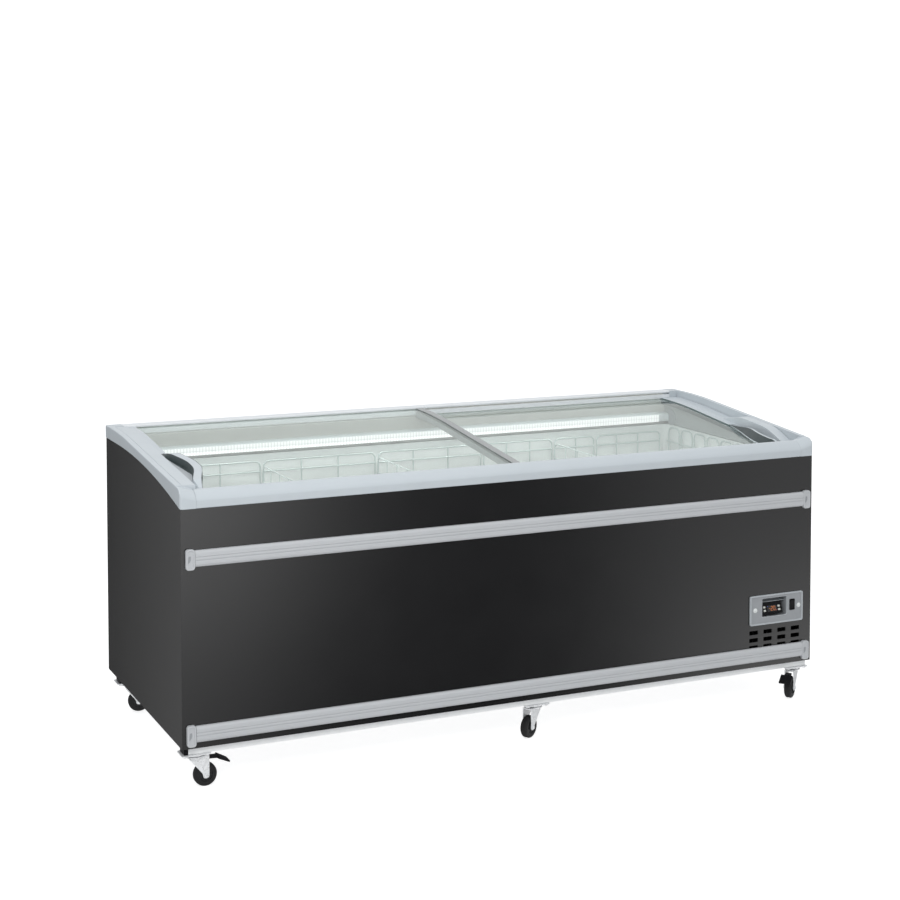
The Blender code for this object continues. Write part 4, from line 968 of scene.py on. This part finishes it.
def loop(a0, a1, b0, b1, radius, place):
    """A closed wire round a rectangle whose upper corners are round."""
    points = []
    for centre, turn in ((a1 - radius, 0), (a0 + radius, 90)):
        for t in (radians(turn + 15 * i) for i in range(7)):
            points.append(place(centre + radius * cos(t), b1 - radius + radius * sin(t)))
    return points + [place(a0, b0), place(a1, b0)], True


# Where the upright wires of the long grids stand: each group is one hoop with bars between
GRID_GROUPS = (
    (-0.970, -0.838, -0.701, -0.566), (-0.554, -0.424, -0.295, -0.163), (-0.151, -0.024, 0.105, 0.229),
    (0.241, 0.328, 0.418, 0.505), (0.517, 0.600, 0.673), (0.685, 0.766, 0.853, 0.945),
)


def grids():
    top, second, middle, radius = 0.7660, 0.7330, 0.590, 0.0023
    floor, over_step = TUB_LOW.z + 0.006, STEP_Z + 0.008
    for name, turn, y in (("rear", -1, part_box("rear_grid")[1].y), ("front", 1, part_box("front_grid")[0].y)):
        y += turn * radius
        flat, upright = y + turn * 0.003, y + turn * 0.0005
        paths = []
        for group in GRID_GROUPS:
            low = over_step if group[0] > STEP_X - 0.02 else floor
            start, end = group[0], group[-1]
            paths.append(loop(start, end, low, top, 0.018, lambda x, z: (x, y, z)))
            levels = [z for z in (over_step, middle, second) if z > low + 0.01]
            paths += [([(start, flat, z), (end, flat, z)], False) for z in levels]
            paths += [([(x, upright, low), (x, upright, top)], False) for x in group[1:-1]]
        wires(f"{name}_wire_grid", paths, radius, f"{name}_grid")
    for name, sign, low in (("left", -1, floor), ("right", 1, over_step)):
        low_box, high_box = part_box(f"{name}_grid")
        x = (low_box.x + high_box.x) / 2
        hoops = spread(low_box.y + 0.004, high_box.y - 0.004, 9)
        paths = [
            loop(a + 0.006, b - 0.006, low, top + 0.016, 0.022, lambda y, z: (x, y, z))
            for a, b in zip(hoops, hoops[1:])
        ]
        flat = x - sign * 0.003
        paths += [([(flat, hoops[0], z), (flat, hoops[-1], z)], False) for z in (middle, second - 0.002)]
        wires(f"{name}_wire_grid", paths, radius, f"{name}_grid")
    # Thin wire walls across the tub between the grids
    y0, y1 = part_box("front_grid")[1].y + 0.006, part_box("rear_grid")[0].y - 0.006
    low, top = floor + 0.004, 0.752
    for name, x in (("left", -0.560), ("middle", -0.157), ("right", 0.511)):
        paths = [loop(y0, y1, low, top, 0.03, lambda y, z: (x, y, z))]
        paths += [([(x, y0, z), (x, y1, z)], False) for z in (0.36, 0.55, 0.70)]
        paths += [([(x, y, low), (x, y, top)], False) for y in spread(y0, y1, 9)[1:-1]]
        wires(f"{name}_divider", paths, 0.0016)


def lamp():
    (x0, front, z0), (x1, back, z1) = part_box("led_lamp")
    body = [(back, z0, 0), *near(front, z0, (8, 0, 4), (1.6, 4, 3)), *near(front, z1, (1.6, -7, 3), (8, -2, 4)),
            (back, z1, 0)]
    # The housing takes the lighter copy of the frame plastic, painted light, so no dark line shows under it.
    piece("lamp_housing", bar(soften(body, 4), x0, x1), "rear_frame", stands_for="led_lamp", edge=0.0004)
    lit_x, ribs, face, bulge = 0.941, 470, front + 0.0017, (0.0009, 0.0014)
    rows = []
    for low, high in ((z0 + 0.0008, z0 + 0.0134), (z0 + 0.0142, z0 + 0.0264)):
        rings = []
        for i, x in enumerate(spread(x0 + 0.004, lit_x, ribs + 1)):
            crown = face - bulge[i % 2]
            shoulder = face - bulge[i % 2] * 0.7
            rings.append([(x, face, low), (x, shoulder, low + 0.0012), (x, crown, (low + high) / 2),
                          (x, shoulder, high - 0.0012), (x, face, high)])
        rows.append(loft(rings))
    piece("lamp_diffuser", merged(*rows), "lamp")
    disc = moved(turned(((0, 29), (1.2, 29), (2.2, 27.5), (2.6, 20), (2.6, 4)), 36, 0), turn=pi)
    at = (SKIRT_X - 0.0007, back - 0.046, (z0 + z1) / 2 + 0.001)
    piece("lamp_socket_disc", moved(disc, at), "bezel")


# Casters

PLATE_THICK, RING_TALL, BOLT_X, BOLT_Y = 0.0026, 0.0064, 0.031, 0.020


def plate_mesh(node):
    """A bolted plate with the swivel's bearing ring under it."""
    (x0, y0, _), (x1, y1, top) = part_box(node)
    cx, cy, under = (x0 + x1) / 2, (y0 + y1) / 2, top - PLATE_THICK
    box, layers = ((x0, y0), (x1, y1)), ((top, 0.0003), (top - 0.0004, 0), (under + 0.0004, 0), (under, 0.0003))
    parts = [loft([[(x, y, z) for x, y in grown(box, -d, 0.008 - d)] for z, d in layers])]
    ring = ((1, 25.5), (-0.8, 25.5), (-1.4, 24.8), (-4.2, 24.6), (-5.5, 22.5), (-6, 18))
    parts.append(moved(turned(ring, 44), (cx, cy, under)))
    for at in ((cx + sx * BOLT_X, cy + sy * BOLT_Y, under) for sx in (-1, 1) for sy in (-1, 1)):
        head = turned(((0.3, 6.2), (-1, 6.4), (-3.8, 6.4), (-4.3, 5.4)), 6)
        parts.append(moved(merged(head, turned(((0.2, 8), (-0.8, 8)), 24)), at, 0.3))
    return merged(*parts)


def fork_mesh(turn_at, axle_at, name):
    """A pressed fork, drawn trailing along +X, then turned into its place."""
    trail = (Vector(axle_at) - Vector(turn_at)).to_2d()
    reach, radius = trail.length, axle_at[2]
    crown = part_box(name + "_caster_plate")[1].z - PLATE_THICK - RING_TALL
    inner, outer, rear = 0.0135, 0.0157, reach + 0.009
    outline = soften([
        *near(0, crown, (-17, -1, 2), (-12, -14, 8)),
        *near(reach, radius, (-9.5, 4, 6), (-8.5, -7, 6), (0, -10, 6), (9, -6, 5)),
        (rear, crown - 0.001, 0.002),
    ], 5)
    parts = []
    for side in (-1, 1):
        at_side = Matrix.Translation((reach, side * outer, radius)) @ Matrix.Scale(side, 4, (0, 1, 0))
        parts.append(loft([[(x, side * y, z) for x, z in outline] for y in (inner, outer - 0.0004, outer)]))
        nut = turned(((0, 6.2), (3, 6.2), (3.6, 5.4), (3.6, 3.2), (4.5, 3)), 6 if side > 0 else 20, 1)
        nut.transform(at_side)
        if side < 0:
            nut.flip_normals()
        boss = turned(((0, 8.8), (0.7, 8.4)), 28, 1)
        boss.transform(at_side)
        parts += [nut, boss]
    bridge = rect(-0.014, rear - 0.0002, crown - 0.0034, crown - 0.0006)
    parts.append(loft([[(x, y, z) for x, z in bridge] for y in (-outer + 0.0003, outer - 0.0003)]))
    parts.append(moved(turned(((-4, 23.5), (-3.4, 24.8), (-1.2, 24.8), (0, 21.5)), 44), (0, 0, crown)))
    axle = turned(((-outer / MM, 3.9), (outer / MM, 3.9)), 20, 1)
    parts.append(moved(axle, (reach, 0, radius)))
    return moved(merged(*parts), (turn_at[0], turn_at[1], 0), atan2(trail.y, trail.x))


def both_sides(rows, half):
    """A wheel's profile from one side's rows in mm: distance in from that side, then radius."""
    rows = [(a - half, radius) for a, radius in mm(*rows)]
    return rows + [(-a, radius) for a, radius in reversed(rows)]


def wheel_meshes(joint):
    radius, half = joint["pos_m"][2], 0.012
    r = radius / MM
    turn = Vector((0, 1, 0)).rotation_difference(Vector(joint["axis"])).to_matrix().to_4x4()
    tread = both_sides([(1.6, 23.5), (0, 24.5), (0.3, r - 5.8), (1.6, r - 3.2), (4, r - 0.8), (6.6, r),
                        (8.6, r), (9.2, r - 0.7)], half)
    core = both_sides([(0.2, 6), (0.2, 9.5), (3.5, 10.5), (4, 19), (1.2, 20.5), (1, 23.6)], half)
    core += [(half - 0.0010, 0.0046), (-half + 0.0010, 0.0046)]
    hub = [spun(core, 48)]
    for t in (radians(60 * i + 12) for i in range(6)):
        for side in (-1, 1):
            rib = loft([[(x, side * y, z) for x, z in rect(0.0098, 0.0200, b, -b)]
                        for y, b in ((half - 0.0042, 0.0013), (half - 0.0018, 0.0008))])
            hub.append(moved(rib, (0, 0, 0), t, "Y"))
    meshes = spun(tread, 56), merged(*hub)
    for mesh in meshes:
        mesh.transform(Matrix.Translation(joint["pos_m"]) @ turn)
    return meshes


def casters():
    for name in (f"{end}_{side}" for end in ("front", "rear") for side in ("left", "middle", "right")):
        swivel, roll, tag = JOINTS[name + "_swivel_turn"], JOINTS[name + "_wheel_roll"], name + "_caster_"
        piece(tag + "plate_steel", plate_mesh(tag + "plate"), "zinc", stands_for=tag + "plate")
        fork = fork_mesh(swivel["pos_m"], roll["pos_m"], name)
        piece(tag + "pressing", fork, "zinc", name + "_swivel", tag + "fork", edge=0.0003)
        tyre, hub = wheel_meshes(roll)
        piece(tag + "tyre", tyre, "rubber", name + "_wheel", tag + "wheel")
        piece(tag + "hub", hub, "hub", name + "_wheel")


def base_rail_caps():
    for name in ("front", "rear"):
        low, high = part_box(name + "_base_rail")
        outline = rect(low.y - 0.0008, high.y + 0.0004, low.z - 0.0001, high.z + 0.0002)
        outline = soften([(y, z, 0.002) for y, z in outline])
        for side, x, way, look in (("left", low.x, 1, "black"), ("right", high.x, -1, "rail")):
            cap = bar(outline, *sorted((x - way * 0.0012, x + way * 0.011)))
            piece(f"{name}_base_rail_{side}_end", cap, look, edge=0.0004)


# Studio


def world():
    """White for the camera. Lamps of different brightness round the room for reflections."""
    made = bpy.data.worlds.new("studio")
    bpy.context.scene.world = made
    made.use_nodes = True
    made.cycles.sampling_method = "NONE"
    tree = made.node_tree
    tree.nodes.clear()

    def ramp(source, stops):
        new = add(tree, "ValToRGB", {0: source})
        new.color_ramp.interpolation = "EASE"
        while len(new.color_ramp.elements) < len(stops):
            new.color_ramp.elements.new(0.5)
        for element, (at, value) in zip(new.color_ramp.elements, stops):
            element.position, element.color = at, (value, value, value, 1)
        return new

    def math(operation, a, b):
        return add(tree, "Math", {0: a, 1: b}, operation=operation)

    def mix(factor, a, b):
        return add(tree, "Mix", {"Factor": factor, "A": a, "B": b}, data_type="RGBA").outputs["Result"]

    x, y, z = add(tree, "SeparateXYZ", {0: add(tree, "TexCoord").outputs["Generated"]}).outputs
    turn = math("ARCTAN2", x, math("MULTIPLY", y, -1.0))
    around = math("ADD", math("DIVIDE", turn, 2 * pi), 0.5)
    # Brightness round the room, by degrees from the front: seen in the upper and the lower panels
    strongest = 2.5
    left = ((-180, 0.0), (-167, 0.0), (-165.6, 0.04), (-164.6, 0.34), (-162, 0.40), (-150, 0.45), (-90, 1.0),
            (-45, 1.1))
    high = (*left, (2, 2.3), (17, 2.5), (18.6, 1.7), (20.2, 0.65), (21.8, 0.12), (23, 0.02), (28.5, 0.02),
            (29.6, 0.22), (31, 0.60), (33, 0.85), (40, 0.90), (65, 1.0), (100, 0.6), (180, 0.05))
    low = (*left, (2, 0.9), (16, 0.85), (18.2, 0.30), (19.8, 0.02), (24, 0.01), (29.2, 0.01), (30.4, 0.25),
           (32.2, 0.95), (34, 2.0), (36.5, 2.5), (46, 2.5), (65, 1.6), (100, 0.6), (180, 0.05))
    above, below = (
        ramp(around, [((degrees + 180) / 360, value / strongest) for degrees, value in stops])
        for stops in (high, low)
    )
    beneath = mix(ramp(math("MULTIPLY", z, -1.0), [(0.20, 0.0), (0.31, 1.0)]), above, below)
    room = add(tree, "VectorMath", {0: beneath, "Scale": strongest}, operation="SCALE")
    height = ramp(math("ADD", math("MULTIPLY", z, 0.5), 0.5), [(0.49, 0.0), (0.56, 1.0)])
    mirror = mix(height, room, (0.92, 0.93, 0.94, 1))
    # Diffuse light: brighter from above, the front and the left
    fill = math("ADD", math("ADD", 0.50, math("MULTIPLY", math("MAXIMUM", z, 0.0), 0.36)),
                math("ADD", math("MULTIPLY", y, -0.12), math("MULTIPLY", x, -0.10)))
    shares = {i: math("MULTIPLY", fill, share) for i, share in enumerate((0.985, 1.0, 1.02))}
    path = add(tree, "LightPath").outputs
    lit = mix(path["Is Glossy Ray"], add(tree, "CombineXYZ", shares), mirror)
    shown = mix(path["Is Camera Ray"], lit, (1.6, 1.6, 1.6, 1))
    add(tree, "OutputWorld", {"Surface": add(tree, "Background", {"Color": shown})})


def area_light(name, at, target, size, watts):
    data = bpy.data.lights.new(name, "AREA")
    data.shape, data.size, data.size_y, data.energy = "RECTANGLE", *size, watts
    obj = linked(name, data)
    obj.location = at
    obj.rotation_euler = (Vector(target) - Vector(at)).to_track_quat("-Z", "Y").to_euler()
    obj.visible_camera = obj.visible_glossy = False


def studio():
    look = Look("studio_floor", (0.60, 0.60, 0.60), 0.8)
    mat = look.tint(0.6, 0.004).done(25, 0.05)
    look.shader.inputs["Emission Color"].default_value = (1, 1, 1, 1)
    look.shader.inputs["Emission Strength"].default_value = 0.75
    mesh, size, level = bpy.data.meshes.new("floor"), 40.0, -0.0004
    mesh.from_pydata([(x, y, level) for x, y in rect(-size, size, -size, size)], [], [(0, 1, 2, 3)])
    mesh.materials.append(mat)
    floor = linked("floor", mesh)
    floor.visible_glossy = floor.visible_diffuse = False
    world()
    (_, lamp_y, lamp_z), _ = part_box("led_lamp")
    glow = Vector((-0.12, lamp_y - 0.004, lamp_z + 0.015))
    rim = (0.0, TUB_FRONT_Y + 0.02, TUB_HIGH.z - 0.02)
    area_light("top_light", (0.3, 0.2, 3.4), (0, 0, 0), (4.0, 2.6), 14)
    area_light("front_light", (-1.7, -2.9, 2.4), (-0.6, -0.4, 0.7), (1.2, 1.0), 36)
    area_light("lamp_glow", glow, glow + Vector((0, -0.4, -0.3)), (1.5, 0.025), 1.6)
    area_light("tub_bounce", rim, (0.0, TUB_REAR_Y, 0.6), (1.9, 0.03), 1.5)
    area_light("tub_fill", (0.0, 0.0, 0.785), (0.0, 0.001, 0.2), (1.85, 0.60), 2.2)
    camera = bpy.data.cameras.new("camera")
    camera.lens, camera.sensor_width, camera.shift_y = CAMERA_LENS, 36.0, CAMERA_SHIFT
    camera.clip_start, camera.clip_end = 0.1, 200.0
    holder = linked("camera", camera)
    holder.location = CAMERA_AT
    holder.rotation_euler = (pi / 2 - CAMERA_DIP, 0, -CAMERA_TURN)
    bpy.context.scene.camera = holder
    bpy.context.scene.view_settings.view_transform = "Standard"


cabinet()
cad_looks()
front_rail()
rear_rail()
end_frame(-1, 0.0, "left")
end_frame(1, LID_STEP, "right")
lid("left", -1, 0.0)
lid("right", 1, LID_STEP)
bumpers()
control_panel()
display()
tub()
grids()
lamp()
casters()
base_rail_caps()
studio()

bpy.context.view_layer.update()
